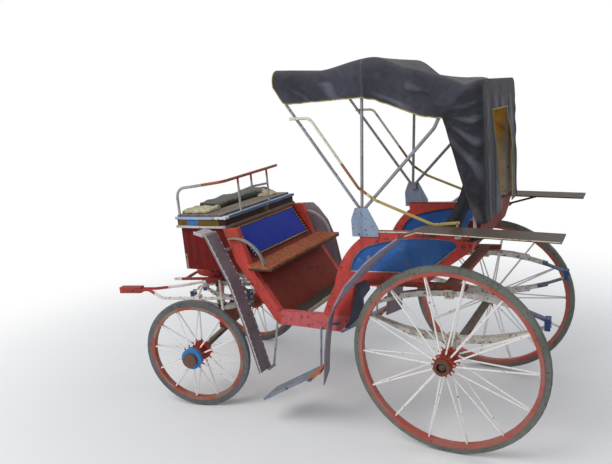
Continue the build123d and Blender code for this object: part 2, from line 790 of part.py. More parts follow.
with BuildPart() as step_boards:
    side_plate(band(step_line, 0, step_t), step_in, step_out)
    with BuildSketch(Plane.XY.offset(step_line[1][1])) as cut:
        with BuildLine() as edge:
            Polyline((-728, -step_in + 1), (-600, -step_in + 1), (-600, -step_out - 1), (-680, -step_out - 1),
                     close=True)
        make_face(edge.edges())
    extrude(cut.sketch, amount=step_line[0][1], mode=Mode.SUBTRACT)
    both_sides(step_boards)
save(step_boards, "step_boards")

# Folding hood stuck half raised: pivot plates, bows, outer irons and the cloth
hood_back_x = shell_line[3][0] + 0.3 + cloth_t
bow_y = hood_half - cloth_t - bow_gap - bow_r
plate_in = bow_y + bow_r + 0.3
roof_line = ((hood_front_x, hood_top_z - 16), (-640.0, hood_top_z - 25), (-320.0, hood_top_z),
             (-120.0, hood_top_z - 64), (100.0, hood_top_z - 180), (hood_back_x, hood_top_z - 164))


def roof_under(x):
    """Height of a bow's centre line under the roof cloth at x."""
    for a, b in zip(roof_line, roof_line[1:]):
        if x <= b[0] or b == roof_line[-1]:
            slope = (b[1] - a[1]) / (b[0] - a[0])
            drop = (cloth_t + bow_gap + bow_r) * math.sqrt(1 + slope * slope)
            return a[1] + slope * (x - a[0]) - drop


with BuildPart() as hood_plates:
    side_plate([(-510, rail_top - 28), (-360, rail_top - 28), (-360, rail_top + 16), (-415, pivot_z + 22),
                (-485, pivot_z + 22), (-510, rail_top + 64)],
               plate_in, plate_in + 6)
    both_sides(hood_plates)
save(hood_plates, "hood_plates")

with BuildPart() as hood_bows:
    front_top = hood_front_x + 24
    bows = (
        ((pivot_x, pivot_z), (-848, 1826), (front_top, roof_under(front_top))),
        ((pivot_x, pivot_z), (-408, 1800), (-396, roof_under(-396))),
        ((pivot_x, pivot_z), (-40, 1652), (62, roof_under(62) - 3)),
        ((138, rail_top + 0.3), (146, 1500), (158, roof_under(158) - 2)),
    )
    for foot, elbow, top in bows:
        with BuildLine() as path:
            left = [(p[0], -bow_y, p[1]) for p in (foot, elbow, top)]
            right = [(p[0], bow_y, p[1]) for p in (top, elbow, foot)]
            FilletPolyline(*left, *right, radius=62)
        with BuildSketch(Plane(origin=path.line @ 0, z_dir=path.line % 0)):
            RegularPolygon(bow_r, 6)
        sweep(path=path.line)
    for s in (-1, 1):
        rod((pivot_x, s * (bow_y - bow_r), pivot_z), (pivot_x, s * (bow_y + bow_r), pivot_z), 24)
save(hood_bows, "hood_bows")

iron_y = hood_half + 2.6 + 8
with BuildPart() as hood_irons:
    with BuildLine() as iron_path:
        FilletPolyline((-820, -iron_y, 1750), (-700, -iron_y, 1746), (-450, -iron_y, 1370),
                       (-360, -iron_y, 1305), (-60, -iron_y, 1178), (72, -iron_y, 1190), radius=50)
    with BuildSketch(Plane(origin=(-820, -iron_y, 1750), z_dir=iron_path.line % 0)):
        RegularPolygon(8, 6)
    sweep(path=iron_path.line)
    rod((-808, -iron_y, 1750), (-808, -bow_y - bow_r - 0.3, 1750), 7, 8)
    rod((60, -iron_y, 1188), (60, -iron_y, rail_top - 14), 7, 8)
    block((46, 74), (-iron_y - 8, -body_half - 0.3), (rail_top - 26, rail_top - 6))
    both_sides(hood_irons)
save(hood_irons, "hood_irons")


def rounded_hood(line, half, radius, low, front):
    """A hood-shaped solid under a roof line, its two shoulders rounded."""
    with BuildPart(mode=Mode.PRIVATE) as solid:
        with BuildSketch(Plane.XZ.offset(-half)):
            with BuildLine():
                Polyline(*line, (line[-1][0], low), (front, low), (front, line[0][1]), close=True)
            make_face()
        extrude(amount=2 * half)
        long = [e for e in solid.edges() if abs(abs(e.center().Y) - half) < 0.1]
        edges = [e for e in long if e.center().Z > line[4][1] - 5 and abs(e.tangent_at(0.5).X) > 0.5]
        fillet(edges, radius)
    return solid


window = ((-230.0, 1712.0), (150.0, 1712.0), (262.0, 1500.0), (210.0, 1170.0), (-90.0, 1170.0))
hood_edge = ((-920.0, 1170.0), (-920.0, 1925.0), (-912.0, 1925.0), (-882.0, 1872.0), (-850.0, 1828.0),
             (-400.0, 1828.0), (-330.0, 1810.0), (-180.0, 1750.0), (-100.0, 1716.0), (-20.0, 1700.0),
             (18.0, 1712.0), (58.0, 1592.0), (88.0, 1490.0), (118.0, 1350.0), (142.0, 1170.0))
lining = offset_points(roof_line, -cloth_t)
lining[-1] = (hood_back_x - cloth_t, roof_line[-1][1] - cloth_t)
with BuildPart() as hood_cloth:
    add(rounded_hood(roof_line, hood_half, hood_shoulder, 1185, hood_front_x).part)
    add(rounded_hood(lining, hood_half - cloth_t, hood_shoulder - cloth_t, 1100, lining[0][0] - 60).part,
        mode=Mode.SUBTRACT)
    with BuildSketch(Plane.XZ.offset(-hood_half - 5)):
        with BuildLine():
            Polyline(*hood_edge, close=True)
        make_face()
    extrude(amount=2 * hood_half + 10, mode=Mode.SUBTRACT)
    with BuildSketch(Plane.YZ.offset(hood_back_x - 20)):
        with BuildLine():
            Polyline(*window, close=True)
        make_face()
    extrude(amount=40, mode=Mode.SUBTRACT)
save(hood_cloth, "hood_cloth")

# Fore-carriage, built straight about the kingpin and then turned to where it stands
front_z = front_wheel_r
bolster_top = front_spring_low - clip_t
transom_low = front_spring_top + clip_t
lower_ring_z = upper_ring_z - ring_gap - ring_t
with BuildPart() as front_axle:
    face = front_track / 2 - front_hub_in - end_gap
    block((-front_axle_bar / 2, front_axle_bar / 2), (-face + collar_t, face - collar_t),
          (front_z - front_axle_bar / 2, front_z + front_axle_bar / 2))
    for s in (-1, 1):
        rod((0, s * (face - collar_t), front_z), (0, s * face, front_z), collar_r, 16)
        rod((0, s * face, front_z), (0, s * (front_track / 2 - front_bore_end - 2), front_z), spindle_r)
save_fore(front_axle, "front_axle")

bolster_half = front_spring_y + spring_w / 2 + clip_over + 3
with BuildPart() as front_bolster:
    block((-24, 24), (-bolster_half, bolster_half), (front_z + front_axle_bar / 2, bolster_top))
save_fore(front_bolster, "front_bolster")

with BuildPart() as front_springs:
    elliptic_spring(front_spring_half, front_spring_top, front_spring_low, front_spring_y)
    both_sides(front_springs)
save_fore(front_springs, "front_springs")

with BuildPart() as front_shackles:
    shackles(front_spring_half, front_spring_top, front_spring_low, front_spring_y)
    both_sides(front_shackles)
save_fore(front_shackles, "front_shackles")

with BuildPart() as front_clips:
    sag = leaf_sag(front_spring_half, front_spring_top, front_spring_low, clip_half) + 0.1
    spring_clip(front_spring_y, front_spring_top - pack_t, front_spring_top, clip_t, clip_t, sag, 0)
    spring_clip(front_spring_y, front_spring_low, front_spring_low + pack_t, clip_t, clip_t, 0, sag)
    both_sides(front_clips)
save_fore(front_clips, "front_spring_clips")

arm_in = 192.0
arm_out = 216.0
arm_low = lower_ring_z - 14.0
with BuildPart() as lower_turntable:
    block((-40, 40), (-arm_out, arm_out), (transom_low, lower_ring_z))
    for s in (-1, 1):
        block((-280, 70), sorted((s * arm_in, s * arm_out)), (arm_low, lower_ring_z))
    block((-205, -187), (-arm_out, arm_out), (arm_low, lower_ring_z))
    with BuildSketch(Plane.XY.offset(lower_ring_z)):
        RegularPolygon(ring_r + ring_bar / 2, ring_flats)
        RegularPolygon(ring_r - ring_bar / 2, ring_flats, mode=Mode.SUBTRACT)
    extrude(amount=ring_t)
    rod((0, 0, lower_ring_z), (0, 0, box_low - 8), kingpin_r)
save_fore(lower_turntable, "lower_turntable")

near_tube = ((150, -pole_half), (-400, -pole_half), (-610, -16), (pole_box_rear, -16))
far_tube = ((150, pole_half), (-230, pole_half), (-400, 84), (-570, 16), (pole_box_rear, 16))
with BuildPart() as pole_tubes:
    for tube, bends in ((near_tube, (90, 60)), (far_tube, (70, 90, 60))):
        with BuildLine() as tube_path:
            FilletPolyline(*[(x, y, pole_z) for x, y in tube], radius=bends)
        with BuildSketch(Plane(origin=(*tube[0], pole_z), z_dir=(-1, 0, 0))):
            RegularPolygon(pole_tube_r, 6)
        sweep(path=tube_path.line)
    for s in (-1, 1):
        y = s * pole_half
        block((40.3, 54), (y - 7, y + 7), (pole_z - 85, arm_low - 0.3))
        block((-142, -100), (y - 16, y + 16), (pole_z - 18, pole_z + 24))
        rod((-124, y, pole_z + 20), (-62, y, arm_low - 14), 9, 8)
        block((-76, -48), (y - 10, y + 10), (arm_low - 20, arm_low - 0.3))
save_fore(pole_tubes, "pole_tubes")

# Square socket for the shaft, open to the front, with a cross bore for its pin
socket_t = 6.0
with BuildPart() as pole_socket:
    block((pole_box_front, pole_box_rear), (-pole_box_w / 2, pole_box_w / 2),
          (pole_z - pole_box_h / 2, pole_z + pole_box_h / 2))
    block((pole_box_front - 1, pole_box_rear - 8), (-pole_box_w / 2 + socket_t, pole_box_w / 2 - socket_t),
          (pole_z - pole_box_h / 2 + socket_t, pole_z + pole_box_h / 2 - socket_t), mode=Mode.SUBTRACT)
    pin_x = pole_box_front + 60
    rod((pin_x, 0, pole_z - pole_box_h), (pin_x, 0, pole_z + pole_box_h), pole_pin_r, mode=Mode.SUBTRACT)
save_fore(pole_socket, "pole_socket")

# Upper turntable under the driver's box, around the kingpin
upper_half = ring_r + ring_bar / 2
with BuildPart() as upper_turntable:
    block((-34, 34), (-upper_half, upper_half), (upper_ring_z + ring_t, box_low))
    with BuildSketch(Plane.XY.offset(upper_ring_z)):
        RegularPolygon(ring_r + ring_bar / 2, ring_flats)
        RegularPolygon(ring_r - ring_bar / 2, ring_flats, mode=Mode.SUBTRACT)
    extrude(amount=ring_t)
    rod((0, 0, upper_ring_z), (0, 0, box_low), kingpin_r + running_gap, mode=Mode.SUBTRACT)
upper_turntable.part = upper_turntable.part.moved(Location((kingpin_x, 0, 0)))
save(upper_turntable, "upper_turntable")
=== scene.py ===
# %% [markdown]
# This scene dresses an old open carriage that has stood outdoors for years: chalky paint over
# grey wood, rods gone rusty, a charcoal hood gone slack and seats losing their stuffing.
# The solids come in already in place, so every new piece is made where it sits, in metres.

import json
import math

import bmesh
import bpy
from mathutils import Matrix, Vector, noise


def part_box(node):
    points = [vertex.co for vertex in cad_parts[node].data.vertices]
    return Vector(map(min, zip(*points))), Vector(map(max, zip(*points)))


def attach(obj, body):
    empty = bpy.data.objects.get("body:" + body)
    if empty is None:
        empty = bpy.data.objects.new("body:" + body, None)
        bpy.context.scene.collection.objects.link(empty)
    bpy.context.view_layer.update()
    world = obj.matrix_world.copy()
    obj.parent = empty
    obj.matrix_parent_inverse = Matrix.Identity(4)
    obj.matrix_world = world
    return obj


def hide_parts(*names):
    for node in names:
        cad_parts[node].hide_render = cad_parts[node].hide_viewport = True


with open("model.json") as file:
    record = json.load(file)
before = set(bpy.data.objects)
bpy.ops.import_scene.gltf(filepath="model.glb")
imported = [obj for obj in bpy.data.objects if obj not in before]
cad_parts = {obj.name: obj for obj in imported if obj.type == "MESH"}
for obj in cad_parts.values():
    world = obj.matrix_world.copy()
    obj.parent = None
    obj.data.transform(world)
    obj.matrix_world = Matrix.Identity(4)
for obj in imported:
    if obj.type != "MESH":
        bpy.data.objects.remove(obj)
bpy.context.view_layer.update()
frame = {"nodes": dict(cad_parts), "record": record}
scene = bpy.context.scene

# %% [markdown]
# The camera stands to the left and behind, at eye height. Its place, tilt and lens were worked
# out from the wheels, whose circles show as ellipses that fix the view. Blender's camera looks
# down its own -Z, so the three directions go straight into the columns of its matrix.

# %% Camera
rear_axle_x = 0.996783
eye = (0.847 + rear_axle_x, -3.380, 1.829)
azimuth, elevation, roll = (math.radians(a) for a in (29.08, 11.77, 5.35))
sensor_mm, focal_px, picture_px = 36, 619, 612
ahead = Vector((-math.sin(azimuth) * math.cos(elevation), math.cos(azimuth) * math.cos(elevation),
                -math.sin(elevation)))
level_right = ahead.cross(Vector((0, 0, 1))).normalized()
level_up = level_right.cross(ahead)
right = math.cos(roll) * level_right - math.sin(roll) * level_up
up = math.sin(roll) * level_right + math.cos(roll) * level_up
camera_data = bpy.data.cameras.new("camera")
camera_data.sensor_width = sensor_mm
camera_data.lens = sensor_mm * focal_px / picture_px
camera = bpy.data.objects.new("camera", camera_data)
camera.matrix_world = Matrix([(right[i], up[i], -ahead[i], eye[i]) for i in range(3)] + [(0, 0, 0, 1)])
scene.collection.objects.link(camera)
scene.camera = camera
print("lens", round(camera_data.lens, 2))

# %% [markdown]
# Every finish here is a small tree of shader nodes. Written out, each node would take five lines,
# so one helper adds a node, sets it up and links it. Colours are picked as sRGB hex values, as on
# a screen, but shaders add light, so a second helper turns them to linear ones.


# %% Helpers for node trees
def new_material(name):
    """A material whose node tree is still empty."""
    material = bpy.data.materials.new(name)
    material.use_nodes = True
    material.node_tree.nodes.clear()
    return material


def add_node(owner, kind, inputs=None, **settings):
    """Add a shader node, set it up, and link or set its inputs.

    A source is a value, an output, or a node, which then stands for the first output it has in use."""
    node = owner.node_tree.nodes.new("ShaderNode" + kind)
    for name, value in settings.items():
        setattr(node, name, value)
    for key, source in (inputs or {}).items():
        if isinstance(source, bpy.types.Node):
            source = next(output for output in source.outputs if output.enabled)
        if isinstance(source, bpy.types.NodeSocket):
            owner.node_tree.links.new(source, node.inputs[key])
        else:
            node.inputs[key].default_value = source
    return node


def srgb(text):
    """The linear colour of an sRGB hex value."""
    parts = [int(text[i:i + 2], 16) / 255 for i in (1, 3, 5)]
    return (*[c / 12.92 if c <= 0.04045 else ((c + 0.055) / 1.055) ** 2.4 for c in parts], 1.0)


as_colour = {"data_type": "RGBA"}
print("mid grey is", round(srgb("#808080")[0], 3))

# %% [markdown]
# Soft daylight needs a bright sky and one broad lamp, with a weaker one behind. The sky shows
# white only to the camera and in reflections, so that the paint isn't overlit. A plain pale floor
# keeps the shadow, and far from the carriage the camera sees it fade to the same white.

# %% Sky and lamps
world = bpy.data.worlds.new("sky")
world.use_nodes = True
world.node_tree.nodes.clear()
rays = add_node(world, "LightPath")
sees_white = rays.outputs["Is Camera Ray"]
for ray_kind in ("Is Glossy Ray", "Is Transmission Ray"):
    sees_white = add_node(world, "Math", {0: sees_white, 1: rays.outputs[ray_kind]}, operation="MAXIMUM")
sky = add_node(world, "Background", {"Color": srgb("#dfe6f0"), "Strength": 0.56})
backdrop = add_node(world, "Background", {"Color": (1, 1, 1, 1), "Strength": 1.0})
sky_or_white = add_node(world, "MixShader", {0: sees_white, 1: sky, 2: backdrop})
add_node(world, "OutputWorld", {"Surface": sky_or_white})
scene.world = world
scene.view_settings.view_transform = "Standard"

lamp_size, lamp_aim = 4.0, Vector((0, 0, 0.8))
for name, place, watts in (("lamp_key", (-1.5, -4.0, 5.0), 190), ("lamp_back", (3.5, 3.5, 4.5), 70)):
    lamp_data = bpy.data.lights.new(name, "AREA")
    lamp_data.size = lamp_size
    lamp_data.energy = watts
    lamp = bpy.data.objects.new(name, lamp_data)
    lamp.location = place
    lamp.rotation_euler = (lamp_aim - Vector(place)).to_track_quat("-Z", "Y").to_euler()
    scene.collection.objects.link(lamp)
    print(name, watts, "watts")

# %% Pale floor that fades to white
floor_half, fade_from, fade_to = 60, 1.3, 4.2
floor_shape = bmesh.new()
bmesh.ops.create_grid(floor_shape, x_segments=1, y_segments=1, size=floor_half)
floor_mesh = bpy.data.meshes.new("floor")
floor_shape.to_mesh(floor_mesh)
floor_shape.free()
floor = bpy.data.objects.new("floor", floor_mesh)
scene.collection.objects.link(floor)
# Matt emulsion: rough enough to take the shadow and mirror nothing.
pale = new_material("pale studio floor")
floor_place = add_node(pale, "TexCoord").outputs["Object"]
from_middle = add_node(pale, "VectorMath", {0: floor_place}, operation="LENGTH")
fade = add_node(pale, "MapRange", {0: from_middle, 1: fade_from, 2: fade_to},
                interpolation_type="SMOOTHSTEP")
seen = add_node(pale, "LightPath").outputs["Is Camera Ray"]
white_share = add_node(pale, "Math", {0: fade, 1: seen}, operation="MULTIPLY")
matt = add_node(pale, "BsdfPrincipled", {"Base Color": srgb("#f4f3f1"), "Roughness": 0.9})
white = add_node(pale, "Emission", {"Color": (1, 1, 1, 1), "Strength": 1.0})
fading = add_node(pale, "MixShader", {0: white_share, 1: matt, 2: white})
add_node(pale, "OutputMaterial", {"Surface": fading})
floor_mesh.materials.append(pale)
print("floor fades from", fade_from, "to", fade_to, "m")

# %% [markdown]
# Old coach paint is chalky and thin. Large soft noise shifts its tone, a sharper noise lets the
# bare wood or rust through in flakes, dust settles on faces that look up, and rain draws streaks
# down the sides. One function builds that finish, and each paint only gives its colours and scale.
# Some parts are painted in two colours. A second material would need a cut in the solid, so a
# patch is a box in the part's own space, and a little noise on the place makes its border look
# brushed by hand.


# %% One coat over another, dust on top, and patches of a second colour
def lay_over(owner, below, above, mask, start, end, most=1.0):
    """Lay a colour over another as the mask goes from start to end, and no more strongly than most."""
    share = add_node(owner, "MapRange", {0: mask, 1: start, 2: end, 3: 0.0, 4: most})
    return add_node(owner, "Mix", {0: share, 6: below, 7: above}, **as_colour)


def lay_dust(owner, shade, colour, start, end, most):
    """Lay dust on the faces that look up, as their normal rises from start to end."""
    way = add_node(owner, "NewGeometry").outputs["Normal"]
    upward = add_node(owner, "SeparateXYZ", {0: way}).outputs["Z"]
    return lay_over(owner, shade, srgb(colour), upward, start, end, most)


def lay_patches(paint, shade, place, wander, patches):
    """Lay boxes of other colours over a paint; each is (low corner, high corner, colour), in mm."""
    ragged = add_node(paint, "VectorMath", {0: wander, 1: (0.5, 0.5, 0.5)}, operation="SUBTRACT")
    ragged = add_node(paint, "VectorMath", {0: ragged, 1: (0.05, 0.05, 0.012), 2: place},
                      operation="MULTIPLY_ADD")
    for low, high, colour in patches:
        middle = [(a + b) / 2000 for a, b in zip(low, high)]
        middle[0] += rear_axle_x
        reach = [(b - a) / 2000 for a, b in zip(low, high)]
        own = add_node(paint, "Mapping", {"Vector": ragged, "Location": middle, "Scale": reach},
                       vector_type="TEXTURE")
        off = add_node(paint, "VectorMath", {0: own}, operation="ABSOLUTE")
        axes = add_node(paint, "SeparateXYZ", {0: off}).outputs
        most = add_node(paint, "Math", {0: axes[0], 1: axes[1]}, operation="MAXIMUM")
        most = add_node(paint, "Math", {0: most, 1: axes[2]}, operation="MAXIMUM")
        within = add_node(paint, "Math", {0: most, 1: 1.0}, operation="LESS_THAN")
        shade = add_node(paint, "Mix", {0: within, 6: shade, 7: srgb(colour)}, **as_colour)
    return shade


# %% Weathered paint
tone_mm, grit_mm, streak_scale = 260, 2.5, (26.0, 26.0, 2.2)


def weathered(name, coat, other, under, flake_mm, bare, rough, dust, streak, patches=(), rust_below=None,
              metal=0.0):
    """Chalky paint that shifts between two tones, with flakes gone down to what is under it.

    bare says how much has flaked, and dust and streak how strong those are. Rust covers the part up to
    about the height rust_below, in metres."""
    paint = new_material(name)
    place = add_node(paint, "TexCoord").outputs["Object"]
    tone = add_node(paint, "TexNoise", {"Vector": place, "Scale": 1000 / tone_mm, "Detail": 6.0,
                                        "Roughness": 0.65})
    shade = lay_over(paint, srgb(coat), srgb(other), tone, 0.36, 0.64)
    if patches:
        shade = lay_patches(paint, shade, place, tone.outputs["Color"], patches)
    runs_place = add_node(paint, "Mapping", {"Vector": place, "Scale": streak_scale})
    runs = add_node(paint, "TexNoise", {"Vector": runs_place, "Scale": 1.0, "Detail": 4.0})
    shade = lay_over(paint, shade, srgb("#4c4540"), runs, 0.5, 0.78, streak)
    flakes = add_node(paint, "TexNoise", {"Vector": place, "Scale": 1000 / flake_mm, "Detail": 9.0,
                                          "Roughness": 0.72})
    edge = 0.78 - bare * 0.6
    flaked = add_node(paint, "MapRange", {0: flakes, 1: edge - 0.025, 2: edge + 0.025})
    bare_tone = add_node(paint, "Mix", {0: tone, 6: srgb(under), 7: srgb("#3a2f29")}, **as_colour)
    shade = add_node(paint, "Mix", {0: flaked, 6: shade, 7: bare_tone}, **as_colour)
    if rust_below:
        height = add_node(paint, "SeparateXYZ", {0: place}).outputs["Z"]
        ragged = add_node(paint, "Math", {0: flakes, 1: 0.3, 2: height}, operation="MULTIPLY_ADD")
        rust = add_node(paint, "Mix", {0: tone, 6: srgb("#7a4a33"), 7: srgb("#4f3a30")}, **as_colour)
        shade = lay_over(paint, shade, rust, ragged, rust_below + 0.30, rust_below + 0.08)
    shade = lay_dust(paint, shade, "#a39a8c", 0.25, 0.95, dust)
    grit = add_node(paint, "TexNoise", {"Vector": place, "Scale": 1000 / grit_mm, "Detail": 3.0})
    relief = add_node(paint, "Math", {0: flaked, 1: -0.7, 2: grit}, operation="MULTIPLY_ADD")
    bump = add_node(paint, "Bump", {"Height": relief, "Strength": 0.35, "Distance": 0.0016})
    chalky = add_node(paint, "MapRange", {0: flaked, 3: rough, 4: 0.9})
    gloss = 0.5 if metal else 0.12
    surface = add_node(paint, "BsdfPrincipled", {"Base Color": shade, "Roughness": chalky, "Normal": bump,
                                                 "Metallic": metal, "Specular IOR Level": gloss})
    add_node(paint, "OutputMaterial", {"Surface": surface})
    return paint


# %% Bands of colour round the driver's seat frame, in mm about the rear axle
everywhere = 4000
seat_bands = (
    ((-everywhere, -everywhere, 1149), (everywhere, everywhere, 1189), "#6d5526"),
    ((-everywhere, -everywhere, 1189), (everywhere, everywhere, 1210), "#9fb0d6"),
    ((-1640, -440, 1150), (-1560, -400, 1188), "#3f6fa6"),
    ((-1400, -440, 1150), (-1340, 440, 1188), "#3a2620"),
    ((-1352, -380, 1190), (-1330, 440, 1210), "#54708f"),
    ((-1352, -430, 1133), (-1330, 440, 1149), "#7b7570"),
    ((-1420, -430, 1190), (-1330, -380, 1210), "#e6e6ea"),
)
print("seat bands", len(seat_bands))

# %% The paints and bare materials of the solids
# Columns: slot or node, finish, coat, second tone, what is under it, flake in mm, share that is bare,
# roughness, dust, streaks, patches, height of the rust.
paints = (
    # Perished rubber: grey, matt and dusty, with darker cracks on the rear tyres and mud on the front ones.
    ("rear_tyre_rubber", "perished rubber, dusty", "#676a62", "#7d7f76", "#47453f", 14, 0.30, 0.85, 0.1,
     0.35),
    ("front_tyre_rubber", "perished rubber, blue grey", "#565c60", "#74777a", "#8a8270", 30, 0.38, 0.85, 0.1,
     0.35),
    # Forged iron left bare: brown rust in broad patches, rough and without any gloss.
    ("axle_iron", "forged iron, rusty", "#75716c", "#5f4a3f", "#6d4331", 20, 0.40, 0.75, 0.35, 0.35),
    # Oil paint on springs: dull white that rust stains through, blue at the ends of the leaves.
    ("spring_paint", "white oil paint on spring steel", "#dcdad4", "#bdb6a8", "#7d5a42", 20, 0.33, 0.6, 0.1,
     0.5, (((330, -500, 680), (480, 500, 860), "#56688a"), ((300, 300, 560), (450, 500, 672), "#6a7488"),
           ((430, 300, 600), (480, 500, 672), "#8f4440"))),
    # Enamel: a little smoother than oil paint, chipped down to dark iron.
    ("shackle_paint", "blue enamel on iron", "#3b5888", "#34496f", "#49372e", 14, 0.32, 0.5, 0.1, 0.35),
    # Cream paint on clips: small chips, rusty orange where the nuts were turned.
    ("spring_clips", "cream paint on U bolts and plates", "#d8d0bc", "#bfb49c", "#8a5636", 10, 0.36, 0.6, 0.0,
     0.35),
    # Black iron: nearly no colour of its own, brown where it is worn.
    ("iron_black", "black iron", "#2b2827", "#3a3532", "#5e4335", 14, 0.30, 0.6, 0.35, 0.35),
    # Two coats on the fore-carriage: white over red, so that the chips show red.
    ("gear_paint", "white over red paint on iron tube", "#ebe5df", "#dccfc8", "#a34a40", 22, 0.33, 0.6, 0.0,
     0.1, (((-2400, -300, 560), (-2180, -60, 640), "#a8423c"),)),
    # Red oil paint on the turntable: a cooler red than the body's, rubbed down to dark iron.
    ("lower_turntable", "red and white paint on iron bar", "#a03c38", "#8a3330", "#5a3f36", 16, 0.33, 0.6,
     0.1, 0.3, (((-2100, -300, 690), (-1880, 300, 870), "#e2d9d2"),)),
    ("upper_turntable", "red paint on forged iron", "#8f2f2b", "#a8423c", "#4a3530", 16, 0.33, 0.6, 0.1,
     0.35),
    ("pole_socket", "red paint on an iron socket", "#9c3a36", "#b0504a", "#5a3f36", 16, 0.36, 0.6, 0.1, 0.35),
    # Paint that has sunk into hardwood: brownish, with the grey of the wood in it.
    ("gear_wood", "faded red paint on hardwood", "#7d3a2e", "#8d4b3c", "#5b4a3f", 30, 0.36, 0.75, 0.35, 0.35),
    # Coach paint of the body: smoother than the oil paints, brightest on the side frames, pink on the sill.
    ("side_frames", "orange red coach paint", "#d0514a", "#b5433b", "#6b4a3e", 26, 0.30, 0.5, 0.0, 0.4,
     (((-1010, -450, 540), (160, -380, 646), "#c96466"),
      ((-1362, -450, 1040), (-1240, -380, 1140), "#b8503f"),
      ((-560, -450, 1130), (160, 450, 1140), "#97483c"))),
    ("slant_panel", "dull red coach paint", "#86301f", "#76241c", "#4f3430", 40, 0.26, 0.6, 0.0, 0.4),
    ("panel_blue", "blue coach paint", "#2f5ca2", "#4374b3", "#9ea5ad", 34, 0.29, 0.5, 0.1, 0.3),
    ("rear_shell", "dark red coach paint", "#6a2a26", "#7b3530", "#43302b", 34, 0.30, 0.6, 0.35, 0.35),
    ("box_carcase", "deep red coach paint", "#74150f", "#5f100d", "#33211e", 40, 0.29, 0.5, 0.0, 0.5,
     (((-1715, -400, 855), (-1690, 400, 960), "#8f8378"),)),
    # Mouldings picked out in pale colours over brown, which gives the seat its thin bright lines.
    ("moulding_blue", "pale blue and white paint on moulding", "#cdc3c2", "#b9b2b0", "#5f4a34", 24, 0.30,
     0.65, 0.1, 0.2, seat_bands),
    # Pine: thin paint that feet and rain have worn off, so that grain and dirt show.
    ("jump_seat", "orange brown paint on pine", "#b96a44", "#9c5a3c", "#574034", 18, 0.38, 0.75, 0.0, 0.35,
     (((-1198, -470, 880), (-1000, 470, 905), "#4b3d33"),)),
    ("floor_board", "dark weathered board with a pale edge", "#2e2927", "#3b3430", "#5a463c", 34, 0.30, 0.8,
     0.1, 0.2, (((-905, -400, 588), (-880, 400, 616), "#a99c86"),)),
    ("step_boards", "blue grey paint on pine", "#6f7f93", "#8a8f98", "#5c4a3e", 26, 0.32, 0.75, 0.2, 0.3,
     (((-760, -640, 300), (-670, 640, 420), "#b5683f"),)),
    # Sheet iron guards: thin slate paint with a purple cast, brown behind and rusty at the foot.
    ("guard_slate", "slate paint on sheet iron", "#786b70", "#857a80", "#544845", 34, 0.25, 0.55, 0.1, 0.35,
     (((60, -650, 1090), (600, 650, 1200), "#43352f"), ((-190, -650, 1120), (60, 650, 1190), "#5b4b43"),
      ((-590, -650, 780), (-190, 650, 1150), "#9a92a2"), ((-1480, -600, 1080), (-1402, 600, 1150), "#b5aeae")),
     0.12),
    ("splash_panels", "dark slate paint on sheet iron", "#646b7c", "#515766", "#57443c", 30, 0.30, 0.6, 0.1,
     0.35),
    # Rods and tubes: thin grey or cream paint, with rust specks as small as the rod is thick.
    ("step_hangers", "blue grey paint on iron rod", "#8b90a0", "#b3b3b5", "#6a4a3a", 18, 0.32, 0.6, 0.35,
     0.35),
    ("iron_grey", "flat grey paint on iron", "#8d8a8c", "#a4a2a0", "#6d4f40", 18, 0.28, 0.55, 0.2, 0.35),
    ("seat_rail", "grey white paint on iron tube", "#b5aeac", "#9c9492", "#7a4632", 20, 0.30, 0.55, 0.1, 0.35,
     (((-1500, -420, 1380), (-1300, 300, 1460), "#a3594a"),)),
    ("hood_bows", "thin grey paint on iron rod", "#8f8e96", "#a5a3a8", "#6d5345", 18, 0.30, 0.6, 0.1, 0.35),
    ("hood_iron_paint", "cream paint on iron rod", "#d3c8a6", "#ddd6c4", "#8a5a34", 30, 0.30, 0.6, 0.0, 0.2,
     (((-560, -460, 1330), (-400, 460, 1500), "#9a6a45"), ((-400, -460, 1150), (100, 460, 1330), "#b9a865"))),
    ("hood_plates", "pale blue paint on iron plate", "#9aa9bd", "#8898b0", "#6d5345", 18, 0.30, 0.55, 0.0,
     0.35),
    # Bare plank: silver grey on top where the sun took the colour out, brown in the checks.
    ("plank_wood", "bare grey plank", "#6d665c", "#84796b", "#4b453e", 20, 0.36, 0.85, 0.35, 0.35),
)
finishes = {key: weathered(*row) for key, *row in paints}
print("finishes", len(finishes))

# %% Put each finish on the solids of its slot
slots = {row["node"]: row["material_slot"] for row in frame["record"]["subparts"]}


def dress(solid, finish):
    """Give every slot of a solid this finish."""
    for slot in solid.material_slots:
        slot.material = finish


dressed = 0
for name, solid in frame["nodes"].items():
    finish = finishes.get(name, finishes.get(slots[name]))
    if finish:
        dress(solid, finish)
        dressed += 1
print("dressed", dressed)

# %% [markdown]
# A wheel carries several paints on one piece: red felloe, white rods, and a hub in red, blue and
# brown. The distance from the axle line, measured inside the shader, tells them apart, so the
# colours turn with the wheel.


